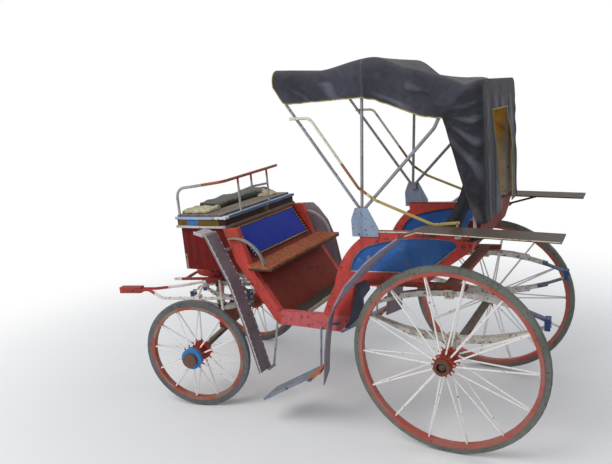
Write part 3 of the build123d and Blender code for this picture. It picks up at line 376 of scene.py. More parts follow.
# %% Wheel paint by distance from the axle
def wheel_paint(name, centre, turn, felloe_from, felloe_shades, hub_to, rings):
    """White rods, a red felloe outside felloe_from, and a hub inside hub_to.

    The hub's rings are (from, to, colour) along the axle, in metres from the middle of the hub."""
    paint = new_material(name)
    place = add_node(paint, "TexCoord").outputs["Object"]
    own = add_node(paint, "Mapping", {"Vector": place, "Location": centre, "Rotation": (0, 0, turn)},
                   vector_type="TEXTURE")
    flat = add_node(paint, "VectorMath", {0: own, 1: (1, 0, 1)}, operation="MULTIPLY")
    far = add_node(paint, "VectorMath", {0: flat}, operation="LENGTH")
    along = add_node(paint, "SeparateXYZ", {0: own}).outputs["Y"]
    flakes = add_node(paint, "TexNoise", {"Vector": place, "Scale": 1000 / 22, "Detail": 8.0,
                                          "Roughness": 0.7})
    tone = add_node(paint, "TexNoise", {"Vector": place, "Scale": 1000 / 120, "Detail": 4.0})
    rods = add_node(paint, "Mix", {0: tone, 6: srgb("#fbf9f5"), 7: srgb("#e4dfd6")}, **as_colour)
    felloe = lay_over(paint, srgb(felloe_shades[0]), srgb(felloe_shades[1]), tone, 0.42, 0.58)
    is_felloe = add_node(paint, "Math", {0: far, 1: felloe_from}, operation="GREATER_THAN")
    shade = add_node(paint, "Mix", {0: is_felloe, 6: rods, 7: felloe}, **as_colour)
    is_hub = add_node(paint, "Math", {0: far, 1: hub_to}, operation="LESS_THAN")
    shade = add_node(paint, "Mix", {0: is_hub, 6: shade, 7: srgb("#7d2f25")}, **as_colour)
    for start, end, colour in rings:
        apart = add_node(paint, "Math", {0: along, 1: (start + end) / 2}, operation="SUBTRACT")
        apart = add_node(paint, "Math", {0: apart}, operation="ABSOLUTE")
        inside = add_node(paint, "Math", {0: apart, 1: (end - start) / 2}, operation="LESS_THAN")
        here = add_node(paint, "Math", {0: inside, 1: is_hub}, operation="MULTIPLY")
        shade = add_node(paint, "Mix", {0: here, 6: shade, 7: srgb(colour)}, **as_colour)
    rust = add_node(paint, "Mix", {0: tone, 6: srgb("#7d4a33"), 7: srgb("#4a3328")}, **as_colour)
    shade = lay_over(paint, shade, rust, flakes, 0.60, 0.65)
    bump = add_node(paint, "Bump", {"Height": flakes, "Strength": 0.3, "Distance": 0.001})
    surface = add_node(paint, "BsdfPrincipled", {"Base Color": shade, "Roughness": 0.62,
                                                 "Specular IOR Level": 0.2, "Normal": bump})
    add_node(paint, "OutputMaterial", {"Surface": surface})
    return paint


# %% Paint of the four wheels
# Oil paint faded in the sun: chalky red on the felloes, white on the rods, where rust breaks through.
# The fore-carriage stands off straight by steer, and the front wheels' axis lines with it.
steer = math.radians(12.1)
kingpin_x = rear_axle_x - 1.709
rear_hub_y, rear_radius, front_hub_y, front_radius = 0.540, 0.5, 0.541, 0.351
rear_rings = ((-0.1, -0.072, "#6b4a3a"), (-0.064, -0.046, "#a33b2a"), (0.046, 0.064, "#a33b2a"))
front_rings = ((-0.13, -0.0965, "#6e5342"), (-0.0965, -0.070, "#3a86c8"), (-0.064, -0.046, "#a0402f"),
               (0.046, 0.064, "#a0402f"))
for side_name, side in (("left", -1), ("right", 1)):
    outward = 0 if side < 0 else math.pi
    rear_hub = (rear_axle_x, side * rear_hub_y, rear_radius)
    front_hub = (kingpin_x - side * front_hub_y * math.sin(steer), side * front_hub_y * math.cos(steer),
                 front_radius)
    rear_paint = wheel_paint(f"rear wheel paint {side_name}", rear_hub, outward, 0.446,
                             ("#b0564a", "#a86a5f"), 0.062, rear_rings)
    front_paint = wheel_paint(f"front wheel paint {side_name}", front_hub, steer + outward, 0.291,
                              ("#a8513f", "#93776a"), 0.08, front_rings)
    dress(frame["nodes"][f"rear_wheel_{side_name}_rim"], rear_paint)
    dress(frame["nodes"][f"front_wheel_{side_name}_rim"], front_paint)
    print("painted the", side_name, "wheels, front hub at x", round(front_hub[0], 3))

# %% [markdown]
# The new pieces are all modelled where they sit. Three helpers are shared: one turns millimetres
# about the rear axle into a place in the scene, one turns a finished bmesh into a piece that rides
# on the body, and one lays a round cord along points, for piping and beading.


# %% Helpers for new pieces
def spot(x, y, z):
    """A place in metres from millimetres about the rear axle."""
    return Vector((x / 1000 + rear_axle_x, y / 1000, z / 1000))


def make_piece(shape, name, materials):
    """Turn a bmesh into a smooth shaded piece that rides on the body."""
    mesh = bpy.data.meshes.new(name)
    shape.to_mesh(mesh)
    shape.free()
    mesh.shade_smooth()
    for material in materials:
        mesh.materials.append(material)
    piece = bpy.data.objects.new(name, mesh)
    scene.collection.objects.link(piece)
    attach(piece, "body")
    print(name, "faces", len(mesh.polygons))
    return piece


def round_cord(name, runs, radius, material):
    """A round cord of this radius in mm along each run of places."""
    line = bpy.data.curves.new(name, "CURVE")
    line.dimensions = "3D"
    line.bevel_depth = radius / 1000
    line.bevel_resolution = 1
    line.use_fill_caps = True
    for run in runs:
        spline = line.splines.new("POLY")
        spline.points.add(len(run) - 1)
        for point, place in zip(spline.points, run):
            point.co = (*place, 1)
    holder = bpy.data.objects.new(name, line)
    shape = bmesh.new()
    shape.from_mesh(bpy.data.meshes.new_from_object(holder))
    bpy.data.objects.remove(holder)
    return make_piece(shape, name, [material])


def ramp(value, low, high):
    """0 below low, 1 above high, straight between."""
    return min(1.0, max(0.0, (value - low) / (high - low)))


def on_line(line, x):
    """Height of a polyline at x, carried straight on past its ends."""
    for a, b in zip(line, line[1:]):
        if x <= b[0] or b == line[-1]:
            return a[1] + (b[1] - a[1]) * (x - a[0]) / (b[0] - a[0])


print("the rear axle stands at", [round(c, 3) for c in spot(0, 0, 1000 * rear_radius)])

# %% [markdown]
# The hood is leathercloth, cotton with a black coat, as old carriages have it. Its coat has gone
# charcoal and dull, and is stained near the lower edge. It is lighter on the folds, partly rubbed
# and partly a painted highlight on their ridges, and its rear parts are a darker copy, painted shade.
# How far a point stands on a fold is only known while the sheet is shaped, so the shapes below write
# it into attributes, and the material reads those. The lining is the same cloth's inner side.


# %% Coated cloth, outside and lining
def coated_cloth(name, front_shade, rear_painted_shading, low_painted_shading, fold_rub_and_highlight, stain_shade, cloud_shade):
    """Leathercloth lighter on its folds, partly rubbed, partly painted highlight; rear parts in painted light and
    shade; dusty above, stained near its lower edge.
    """
    cloth = new_material(name)
    place = add_node(cloth, "TexCoord").outputs["Object"]
    rear, fold, low = (add_node(cloth, "Attribute", attribute_name=key).outputs["Fac"]
                       for key in ("rear", "fold", "low"))
    height = add_node(cloth, "SeparateXYZ", {0: place}).outputs["Z"]
    # Rear parts take a colour of their own, set by height: on the coat a darker copy, painted shade, and on the
    # lining a brighter ochre over beige, painted light through the window.
    rear_painted_shading_by_height = lay_over(cloth, srgb(low_painted_shading), srgb(rear_painted_shading), height, 1.50, 1.53)
    shade = add_node(cloth, "Mix", {0: rear, 6: srgb(front_shade), 7: rear_painted_shading_by_height}, **as_colour)
    # Fold ridges turn lighter: partly rubbed coat, partly a painted highlight on the ridges.
    shade = lay_over(cloth, shade, srgb(fold_rub_and_highlight), fold, 0.45, 1.0, 0.75)
    cloud = add_node(cloth, "TexNoise", {"Vector": place, "Scale": 1000 / 170, "Detail": 7.0,
                                         "Roughness": 0.66})
    creases = add_node(cloth, "TexNoise", {"Vector": place, "Scale": 1000 / 110, "Detail": 4.0,
                                           "Distortion": 2.4})
    shade = lay_over(cloth, shade, srgb(fold_rub_and_highlight), creases, 0.52, 0.70, 0.14)
    shade = lay_over(cloth, shade, srgb(cloud_shade), cloud, 0.42, 0.66, 0.6)
    stains = add_node(cloth, "TexNoise", {"Vector": place, "Scale": 1000 / 60, "Detail": 8.0,
                                          "Roughness": 0.7})
    low_stains = add_node(cloth, "Math", {0: low, 1: stains}, operation="MULTIPLY")
    shade = lay_over(cloth, shade, srgb(stain_shade), low_stains, 0.38, 0.62, 0.6)
    shade = lay_dust(cloth, shade, "#6b5f55", 0.4, 1.0, 0.2)
    # Threads 1.2 mm apart would not show at this size, so the weave is drawn at 2.4 mm.
    threads = {"Vector": place, "Scale": 1 / 0.0024 / 6.28, "Distortion": 0.6}
    warp, weft = (add_node(cloth, "TexWave", threads, bands_direction=axis).outputs["Fac"] for axis in "XZ")
    weave = add_node(cloth, "Math", {0: warp, 1: weft}, operation="ADD")
    relief = add_node(cloth, "Math", {0: creases, 1: 9.0, 2: weave}, operation="MULTIPLY_ADD")
    bump = add_node(cloth, "Bump", {"Height": relief, "Strength": 0.5, "Distance": 0.0022})
    surface = add_node(cloth, "BsdfPrincipled", {"Base Color": shade, "Roughness": 0.66,
                                                 "Specular IOR Level": 0.22, "Normal": bump})
    add_node(cloth, "OutputMaterial", {"Surface": surface})
    return cloth


# The coat is a soft charcoal, nearly matt, and turns to a lighter grey along its folds, partly rubbed and partly a
# painted highlight; its rear parts are a darker copy, painted shade.
hood_outside = coated_cloth("charcoal coated cloth", "#41424c", "#2c2c32", "#2c2c32", "#70707c", "#5f4a3c",
                            "#202024")
# The lining is ochre above and beige below, both painted brighter as painted light that falls through the window,
# and it is what shows through the window.
hood_lining = coated_cloth("ochre and beige lining cloth with painted light", "#8f8574", "#e2a93c", "#d8c9ab", "#d9c79f",
                           "#8a6f4a", "#a2762e")
# Cotton piping yellows and stays matt, a thin light line along each edge.
piping_cloth = weathered("yellowed cotton piping", "#b9a765", "#a08f5a", "#5d5340", 12, 0.3, 0.8, 0.1, 0.2)
print("cloths", [m.name for m in (hood_outside, hood_lining, piping_cloth)])

# %% [markdown]
# The hood is cut in two: one piece for the roof and both sides, and a back curtain with the window.
# The first is a grid whose columns follow the length and whose rows run from one lower edge over
# the roof to the other. Every row is then laid on the line that the bows hold up and sags between
# them, and the rear flap gets the folds that fan out from the bow's elbow, where the cloth hangs.

# %% Lines that the hood follows, in mm about the rear axle
half, shoulder = 435.4, 60.0
flat_half = half - shoulder
corner_x, corner_r = 156.0, 40.0
rear_x = corner_x + corner_r
roof_line = ((-912, 2010), (-640, 2001), (-320, 2026), (-120, 1962), (100, 1846), (196, 1866))
flap_line = ((-912, 1925), (-882, 1872), (-850, 1828), (-400, 1828), (-330, 1810), (-180, 1750),
             (-100, 1716), (-20, 1700), (6, 1698), (35, 1592), (72, 1440), (108, 1316), (150, 1192),
             (177.3, 1185))
far_flap_line = flap_line[:7] + ((-20, 1705), (6, 1690), (24, 1560), (38, 1400), (52, 1250), (66, 1196),
                                 (177.3, 1188))
bow_tops = (-888, -396, 62, 158)
columns = [-912 + 892 * i / 50 for i in range(50)] + [-20 + 26 * i / 4 for i in range(4)]
columns += [6 + 144 * i / 22 for i in range(22)] + [150]
columns += [corner_x + corner_r * i / 8 for i in range(9)]
roof_rows, arc_rows, side_rows = 18, 6, 30
side_total = roof_rows + arc_rows + side_rows
ease_mm, sag_share, slack_mm, fold_mm, seam_x, elbow_z = 30, 0.034, 78, 10.5, -400, 1700
print("hood grid", len(columns), "by", 2 * side_total + 1)


# %% Where each point of the hood lies before it folds
def roof_height(x):
    """Roof line eased to both sides, sagging between the bows."""
    eased = (on_line(roof_line, x - ease_mm) + 2 * on_line(roof_line, x) + on_line(roof_line, x + ease_mm)) / 4
    for start, end in zip(bow_tops, bow_tops[1:]):
        if start < x < end:
            eased -= sag_share * (end - start) * math.sin(math.pi * (x - start) / (end - start)) ** 2
    return eased


def deep_sag(place, hanging):
    """How far the slack roof has dropped between the middle and third bows, away from the near edge."""
    if not bow_tops[1] < place.x < bow_tops[2]:
        return 0.0
    along = math.sin(math.pi * (place.x - bow_tops[1]) / (bow_tops[2] - bow_tops[1])) ** 2
    return slack_mm * along * ramp(place.y, -half, 60) * (1 - hanging)


def hood_point(x, step):
    """Place on the near or far half of the hood, step rows out from the ridge, with its outward way."""
    side, count = (-1 if step < 0 else 1), abs(step)
    bend = math.pi / 2 * ramp(x, corner_x, rear_x)
    x += corner_r * math.sin(bend) - max(0.0, x - corner_x)
    tuck = corner_r * (1 - math.cos(bend))
    top = roof_height(x) - 0.2 * tuck
    if count <= roof_rows:
        return (Vector((x, side * (flat_half - tuck) * count / roof_rows, top)),
                Vector((math.sin(bend), 0, math.cos(bend) + 0.2)).normalized())
    if count <= roof_rows + arc_rows:
        turn = math.pi / 2 * (count - roof_rows) / arc_rows
        return (Vector((x, side * (flat_half - tuck + shoulder * math.sin(turn)),
                        top - shoulder * (1 - math.cos(turn)))),
                Vector((math.sin(bend), side * math.sin(turn) * math.cos(bend), math.cos(turn))).normalized())
    down = (count - roof_rows - arc_rows) / side_rows
    start = top - shoulder
    low = on_line(flap_line if side < 0 else far_flap_line, x) + 4 * noise.noise(Vector((x / 35, side, 0)))
    return (Vector((x, side * (half - tuck), start + (low - start) * down)),
            Vector((math.sin(bend), side * math.cos(bend), 0)))


print("roof over the middle bow", round(roof_height(seam_x)), "mm, at the rear", round(roof_height(rear_x)), "mm")


# %% How far each point stands on a fold
def flap_fan(place):
    """Folds of the rear flap, which fan out from the elbow of the third bow."""
    reach = math.hypot(place.x + 40, place.z - elbow_z)
    turn = math.atan2(elbow_z - place.z, place.x + 60)
    drift = noise.noise(Vector((place.x / 90, place.z / 160, 3)))
    return (0.5 + 0.5 * math.sin(turn * 17 + 2.2 * drift)) * ramp(reach, 20, 160)


def valance_wave(x, z):
    """Narrow slanting folds of the valance between the bows, and the ridge over the middle bow."""
    drift = noise.noise(Vector((x / 150, z / 90, 8)))
    wave = (0.5 + 0.5 * math.sin(x / 34 + (z - 1900) / 24 + 2.4 * drift)) ** 2.2
    bay = ramp(x, -880, -404) if x < -404 else ramp(x, -396, 0)
    wave *= 0.35 + 1.1 * math.sin(math.pi * bay)
    return max(wave, 1.5 * math.exp(-((x - seam_x) / 11) ** 2))


print("fold at the seam", round(valance_wave(seam_x, 1900), 2), "and beside it", round(valance_wave(-450, 1900), 2))


# %% Helpers for sheets
def cloth_layers(shape):
    """The layers that the cloth's material reads: fold, rear part, and nearness to the lower edge."""
    return [shape.verts.layers.float.new(key) for key in ("fold", "rear", "low")]


def face_out(shape, axis, sign):
    """Make a sheet's faces agree, and turn them over if they look the wrong way along this axis."""
    bmesh.ops.recalc_face_normals(shape, faces=shape.faces)
    if sign * sum(face.normal[axis] for face in shape.faces) < 0:
        bmesh.ops.reverse_faces(shape, faces=shape.faces)
    print("sheet of", round(sum(face.calc_area() for face in shape.faces), 3), "square metres")


def thicken(piece, wall_mm):
    """Give a sheet its thickness inwards, with the lining on its inner side."""
    wall = piece.modifiers.new("thickness", "SOLIDIFY")
    wall.thickness, wall.offset, wall.material_offset = wall_mm / 1000, -1.0, 1


# %% Roof and sides of the hood in one sheet
sheet = bmesh.new()
bmesh.ops.create_grid(sheet, x_segments=len(columns) - 1, y_segments=2 * side_total, size=1)
fold_of, rear_of, low_of = cloth_layers(sheet)
hood_rim = {}
for vert in sheet.verts:
    column = round((vert.co.x + 1) / 2 * (len(columns) - 1))
    step = round(vert.co.y * side_total)
    x = columns[column]
    place, outward = hood_point(x, step)
    hung = ramp(abs(step), roof_rows + 2, roof_rows + arc_rows + 6)
    # The rear part of the sheet takes the cloth's rear colour: painted shade on the coat, painted light on the
    # lining.
    rear_part = ramp(place.x - 140 - (place.z - 1842) * 1.02, -9, 9)
    ridge = flap_fan(place) * rear_part + 0.7 * valance_wave(x, place.z) * (1 - rear_part)
    ridge *= hung * (1 - 0.7 * ramp(x, corner_x, rear_x))
    ridge += 0.35 * (0.5 + 0.5 * noise.noise(place / 60)) * (1 - hung)
    # The seam over the middle bow takes the fold colour as a lighter line: partly rubbed, partly a painted
    # highlight where the roof creases.
    seam = math.exp(-((x - seam_x) / 10) ** 2) * (1 - 0.5 * ramp(abs(step), roof_rows, 0))
    vert[fold_of], vert[rear_of] = min(1.0, max(ridge, seam)), rear_part
    vert[low_of] = ramp(abs(step), side_total - 14, side_total)
    place.z -= deep_sag(place, ramp(abs(step), roof_rows + arc_rows, side_total))
    place += outward * (fold_mm * ridge * (hung + 0.1))
    vert.co = spot(*place)
    if abs(step) == side_total or column == 0:
        hood_rim[column, step] = vert.co.copy()
face_out(sheet, 2, 1)
hood_sheet = make_piece(sheet, "hood_sheet", [hood_outside, hood_lining])
thicken(hood_sheet, 3)
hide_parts("hood_cloth")

# %% [markdown]
# The back curtain hangs from the rear bow behind the sides. It is a flat grid first, so that five
# planes can cut the window out of it along straight lines, and only then does it get its folds.

# %% Back curtain with its window
window = ((-230, 1712), (150, 1712), (262, 1500), (210, 1170), (-90, 1170))
window_edges = list(zip(window, window[1:] + window[:1]))
curtain = bmesh.new()
bmesh.ops.create_grid(curtain, x_segments=72, y_segments=56, size=1)
for vert in curtain.verts:
    y = vert.co.x * (half - corner_r)
    over = ramp(abs(y), flat_half - corner_r, half - corner_r)
    top = roof_height(rear_x) - 9 - shoulder * (1 - math.sqrt(max(0.0, 1 - over * over)))
    low = 1185 + 5 * noise.noise(Vector((y / 40, 5, 0)))
    vert.co = Vector((0, y, low + (top - low) * (vert.co.y + 1) / 2))
for a, b in window_edges:
    across = Vector((0, a[1] - b[1], b[0] - a[0])).normalized()
    bmesh.ops.bisect_plane(curtain, geom=curtain.verts[:] + curtain.edges[:] + curtain.faces[:], dist=0.01,
                           plane_co=(0, *a), plane_no=across)


def in_window(face):
    """Whether a face of the flat curtain lies inside every edge of the window."""
    _, y, z = face.calc_center_median()
    return all((b[0] - a[0]) * (z - a[1]) - (b[1] - a[1]) * (y - a[0]) < 0 for a, b in window_edges)


bmesh.ops.delete(curtain, geom=[face for face in curtain.faces if in_window(face)], context="FACES")
fold_of, rear_of, low_of = cloth_layers(curtain)


def curtain_swell(y, z):
    """How far the back curtain stands out in long soft folds, from 0 to 1."""
    hung = ramp(1862 - z, 0, 130) * ramp(half - corner_r - abs(y), 0, 60)
    return hung * (0.5 + 0.5 * math.sin(y / 34 + 2.5 * noise.noise(Vector((y / 80, z / 260, 1)))))


swell_mm = 8
for vert in curtain.verts:
    ridge = curtain_swell(vert.co.y, vert.co.z)
    # The whole curtain takes the rear colour, painted shade outside and painted light on the lining, and its swell
    # sets the lighter fold colour, partly a painted highlight.
    vert[fold_of], vert[rear_of], vert[low_of] = ridge, 1.0, ramp(1300 - vert.co.z, 0, 110)
    vert.co = spot(rear_x - 1 + swell_mm * ridge, vert.co.y, vert.co.z)
face_out(curtain, 0, 1)
back_curtain = make_piece(curtain, "hood_back_curtain", [hood_outside, hood_lining])
thicken(back_curtain, 3)

# %% [markdown]
# The lower corner of the near flap has torn loose and hangs forward over the rail. It could be cut
# from the big sheet, but its cloth bends another way, so it is a small grid of its own that starts
# under the flap and swings forward as it comes down.

# %% Torn corner of the near flap
torn = bmesh.new()
bmesh.ops.create_grid(torn, x_segments=12, y_segments=24, size=1)
fold_of, rear_of, low_of = cloth_layers(torn)
for vert in torn.verts:
    across, down = (vert.co.x + 1) / 2, (1 - vert.co.y) / 2
    bowed = down ** 1.4
    x = (92 - 118 * bowed) * (1 - across) + (150 - 92 * bowed) * across
    z = 1392 - (238 + 10 * across + 6 * noise.noise(Vector((across * 5, 2, 0)))) * down
    ridge = (0.5 + 0.5 * math.sin(across * 8 + down * 2)) * ramp(down, 0.0, 0.5)
    # The torn corner takes the rear colour: painted shade outside, painted light on the lining.
    vert[fold_of], vert[rear_of], vert[low_of] = 0.4 * ridge, 1.0, down
    vert.co = spot(x, -433.5 + 6 * ridge, z)
face_out(torn, 1, -1)
torn_corner = make_piece(torn, "hood_torn_corner", [hood_outside, hood_lining])
thicken(torn_corner, 2)

# %% [markdown]
# Piping is a strip of cotton folded round a string and sewn into an edge, where it hides the cut of
# the cloth. Here it is a cord laid on places that are already known: the sheet kept its edge points
# while it was shaped, and the window's cord follows the same swell as the curtain.

# %% Piping along the edges of the hood and of its window
last_column = columns.index(6)
edge_runs = [[hood_rim[column, side * side_total] for column in range(last_column, -1, -1)]
             for side in (-1, 1)]
edge_runs.append([hood_rim[0, step] for step in range(-side_total, side_total + 1)])
hood_piping = round_cord("hood_piping", edge_runs, 3.2, piping_cloth)
window_run = []
for a, b in (window_edges[4], *window_edges[:3]):
    for i in range(24):
        y, z = (a[k] + (b[k] - a[k]) * i / 24 for k in (0, 1))
        if z > 1190:
            window_run.append(spot(rear_x + swell_mm * curtain_swell(y, z), y, z))
window_piping = round_cord("window_piping", [window_run], 3.0, piping_cloth)

# %% [markdown]
# The seats are stuffed leathercloth. Each cushion starts from its own plain solid: remeshed into
# small even faces, then blown up as cloth for twenty frames, with the swelling capped so that it
# stays in the space of the solid. Seams and button dimples come after that, because remeshing
# would rub them out.

# %% Blow a solid up into a cushion
blow_frames, pressure = 20, 4


def now(piece):
    """The mesh of a piece as its modifiers make it at this frame."""
    return bpy.data.meshes.new_from_object(piece.evaluated_get(bpy.context.evaluated_depsgraph_get()))


def stuffed(node, name, material, voxel_mm, inset_mm, cap_mm):
    """A crowned cushion from a plain solid, still without its seams."""
    shape = bmesh.new()
    shape.from_mesh(frame["nodes"][node].data)
    bmesh.ops.remove_doubles(shape, verts=shape.verts, dist=1e-5)
    low, high = (Vector(corner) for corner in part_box(node))
    shrink = Vector([1 - inset_mm / 1000 / r for r in (high - low) / 2])
    bmesh.ops.scale(shape, vec=shrink, verts=shape.verts, space=Matrix.Translation(-(low + high) / 2))
    mesh = bpy.data.meshes.new(name)
    shape.to_mesh(mesh)
    shape.free()
    piece = bpy.data.objects.new(name, mesh)
    scene.collection.objects.link(piece)
    remesh = piece.modifiers.new("voxels", "REMESH")
    remesh.mode, remesh.voxel_size = "VOXEL", voxel_mm / 1000
    even = now(piece)
    piece.modifiers.clear()
    piece.data = even
    start = [v.co.copy() for v in even.vertices]
    cloth = piece.modifiers.new("cloth", "CLOTH")
    cloth.settings.use_pressure = True
    cloth.settings.uniform_pressure_force = pressure
    cloth.settings.effector_weights.gravity = 0
    for step in range(1, blow_frames + 1):
        scene.frame_set(step)
    for vert, first, last in zip(even.vertices, start, now(piece).vertices):
        move = last.co - first
        vert.co = first + move * min(1.0, cap_mm / 1000 / max(move.length, 1e-9))
    piece.modifiers.clear()
    scene.frame_set(1)
    even.materials.append(material)
    even.shade_smooth()
    smooth = piece.modifiers.new("smooth", "SUBSURF")
    smooth.levels = smooth.render_levels = 1
    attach(piece, "body")
    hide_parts(node)
    print(name, "faces", len(even.polygons))
    return piece


# %% The cushions and pads
# Leathercloth cracks as it dries: dull red or grey green, dusty on top, with canvas in the cracks.
red_leathercloth = weathered("cracked red leathercloth", "#6d2f2a", "#5b2a28", "#8b6f60", 22, 0.28, 0.55,
                             0.35, 0.2)
grey_leathercloth = weathered("cracked grey green leathercloth", "#4d534c", "#3b403c", "#8f8468", 26, 0.30,
                              0.6, 0.2, 0.15)
# Coir and cotton: straw coloured and quite matt, with small brown tufts.
fibre = weathered("teased coir and cotton stuffing", "#cdc3a4", "#b1a27e", "#8a7550", 9, 0.34, 0.95, 0.0, 0.1)
rear_cushion = stuffed("seat_cushion", "rear_seat_cushion", red_leathercloth, 9, 7,
                       7)
rear_back = stuffed("back_cushion", "rear_back_cushion", red_leathercloth, 9, 8, 7)
driver_pad = stuffed("seat_pad", "driver_pad", grey_leathercloth, 6, 5, 6)
driver_stuffing = stuffed("seat_stuffing", "driver_pad_stuffing", fibre, 4, 3, 3)

# %% Button dimples and seams of the rear cushions
buttons_across = 6
dimple_m, dimple_r, seam_m, seam_r = 0.012, 0.03, 0.004, 0.008
for cushion, rows in ((rear_back, (0.32, 0.70)), (rear_cushion, (0.5,))):
    low = Vector([min(v.co[i] for v in cushion.data.vertices) for i in range(3)])
    size = Vector([max(v.co[i] for v in cushion.data.vertices) for i in range(3)]) - low
    upright = cushion is rear_back
    rise = 2 if upright else 0
    out_way = Vector((-0.86, 0, 0.5)) if upright else Vector((0, 0, 1))
    for vert in cushion.data.vertices:
        share = (vert.co[rise] - low[rise]) / size[rise]
        tuck = 0.0
        for i in range(buttons_across):
            y = low.y + size.y * (i + 0.5) / buttons_across
            for row in rows:
                apart = math.hypot(vert.co.y - y, (share - row) * size[rise])
                tuck = max(tuck, dimple_m * math.exp(-(apart / dimple_r) ** 2))
            seam = abs(vert.co.y - y - size.y / (2 * buttons_across))
            tuck = max(tuck, seam_m * math.exp(-(seam / seam_r) ** 2))
        vert.co -= out_way * tuck * max(0.0, vert.normal.dot(out_way))
    print(cushion.name, "buttons", buttons_across * len(rows))

# %% Wrinkles of the driver's pad and lumps of its stuffing
for vert in driver_pad.data.vertices:
    crumple = 0.008 + noise.noise(vert.co * 9) * 0.016 + noise.noise(vert.co * 42) * 0.005
    if vert.co.z > 1.225:
        vert.co.z += min(crumple, 0.022)
for vert in driver_stuffing.data.vertices:
    if vert.co.z > 1.22:
        vert.co.z += 0.004 + noise.noise(vert.co * 30) * 0.012 + noise.noise(vert.co * 110) * 0.005
print("pad top", round(max(v.co.z for v in driver_pad.data.vertices), 3))

# %% [markdown]
# At the far end of the driver's pad the cover has split and the stuffing has burst out onto the
# plank. Loose fibre would need thousands of hairs, so each tuft is a ball that coarse and fine
# noise pull out of shape, flat where it lies on the plank.

# %% Stuffing that has burst out
plank_top, frame_inside = 1216.6, 404
tufts = ((-1530, 352, 62, 34), (-1478, 318, 48, 26), (-1570, 385, 50, 30), (-1500, 262, 36, 18))
burst = bmesh.new()
for x, y, across, tall in tufts:
    lump = bmesh.ops.create_icosphere(burst, subdivisions=4, radius=1)["verts"]
    for vert in lump:
        coarse = noise.noise(vert.co * 2.1 + Vector((x, y, 0)))
        rough = 1 + 0.30 * coarse + 0.14 * noise.noise(vert.co * 7 + Vector((y, x, 0)))
        reach = Vector((across * vert.co.x, across * 0.9 * vert.co.y, tall * max(vert.co.z, -0.1))) * rough
        vert.co = spot(x + reach.x, min(y + reach.y, frame_inside), plank_top + max(reach.z, 0) + 0.2)
burst_stuffing = make_piece(burst, "burst_stuffing", [fibre])

# %% [markdown]
# The back of the driver's box is a panel of blue leathercloth over a thin pad, nailed round its
# edge through a strip of gimp with brass nails. The pad is a grid laid on the slanting panel and
# crowned towards its middle, and the nails are small domes at even steps along the strip.

# %% Blue pad on the slanting panel
# Leathercloth that the box has shaded: still a strong blue, matt and hardly cracked.
blue_leathercloth = weathered("royal blue leathercloth", "#1f2f9a", "#26389c", "#3f4070", 60, 0.18, 0.6, 0.0,
                              0.12)
pad_half, pad_low, pad_high, slope = 345.0, 944.0, 1120.0, 0.663
skirt_m = 0.0047
pad_out = Vector((1, 0, slope)).normalized()


def pad_place(y, z, lift):
    """A place on the slanting panel at this height before lifting, with lift in mm out from it."""
    return spot(*(Vector((-1345 + slope * (1140 - z), y, z)) + pad_out * lift))


pad = bmesh.new()
bmesh.ops.create_grid(pad, x_segments=60, y_segments=22, size=1)
for vert in pad.verts:
    across, along = vert.co.x, vert.co.y
    y, z = across * pad_half, pad_low + (pad_high - pad_low) * (along + 1) / 2
    edge = min((1 - abs(across)) * pad_half, (1 - abs(along)) * (pad_high - pad_low) * 0.6)
    crown = 7 + 8 * math.sqrt(ramp(edge, 0, 60)) + 1.2 * noise.noise(Vector((y / 70, z / 60, 2)))
    vert.co = pad_place(y, z, crown if edge > 0 else 5)
skirt = bmesh.ops.extrude_edge_only(pad, edges=[e for e in pad.edges if e.is_boundary])["geom"]
for vert in [part for part in skirt if isinstance(part, bmesh.types.BMVert)]:
    vert.co -= pad_out * skirt_m
bmesh.ops.holes_fill(pad, edges=[e for e in pad.edges if e.is_boundary], sides=0)
bmesh.ops.recalc_face_normals(pad, faces=pad.faces)
blue_pad = make_piece(pad, "driver_box_pad", [blue_leathercloth])
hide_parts("box_rear_pad")

# %% Gimp and nails round the pad
# Woven braid gone olive and matt, and brass nails whose tarnish leaves only a dull yellow glint.
gimp = weathered("dark olive gimp braid", "#4a4436", "#3d382d", "#2e2a22", 8, 0.3, 0.8, 0.0, 0.1)
brass = weathered("tarnished brass nails", "#cdb884", "#a8915e", "#5a4a30", 6, 0.2, 0.5, 0.0, 0.1, metal=0.2)
nail_pitch, gimp_wide, gimp_tall, gimp_lift, nail_lift = 22, 16, 14, 8.6, 12


def domes(name, places, radius, material):
    """Nail heads or rivets: balls of twenty faces, half sunk, in one piece."""
    heads = bmesh.new()
    for place in places:
        bmesh.ops.create_icosphere(heads, subdivisions=1, radius=radius / 1000,
                                   matrix=Matrix.Translation(place))
    return make_piece(heads, name, [material])


strip = bmesh.new()
corners = ((-pad_half + 6, pad_low + 5), (-pad_half + 6, pad_high - 5), (pad_half - 6, pad_high - 5),
           (pad_half - 6, pad_low + 5))
nail_places = []
for a, b in zip(corners, corners[1:] + corners[:1]):
    length = math.hypot(b[0] - a[0], (b[1] - a[1]) * math.sqrt(1 + slope * slope))
    steps = round(length / nail_pitch)
    for i in range(steps):
        y, z = (a[k] + (b[k] - a[k]) * i / steps for k in (0, 1))
        nail_places.append(pad_place(y, z, nail_lift))
    along_y = abs(b[0] - a[0]) > abs(b[1] - a[1])
    wide, tall = (length + 12, gimp_tall) if along_y else (gimp_wide, abs(b[1] - a[1]) + 10)
    for vert in bmesh.ops.create_cube(strip, size=1)["verts"]:
        y, z = (a[0] + b[0]) / 2 + vert.co.y * wide, (a[1] + b[1]) / 2 + vert.co.z * tall
        vert.co = pad_place(y, z, gimp_lift + vert.co.x * 4)
bmesh.ops.bevel(strip, geom=strip.edges[:], offset=0.0012, offset_type="OFFSET", segments=2, affect="EDGES",
                profile=0.5, material=-1)
make_piece(strip, "box_pad_gimp", [gimp])
domes("box_pad_nails", nail_places, 5.0, brass)
print("nails", len(nail_places))

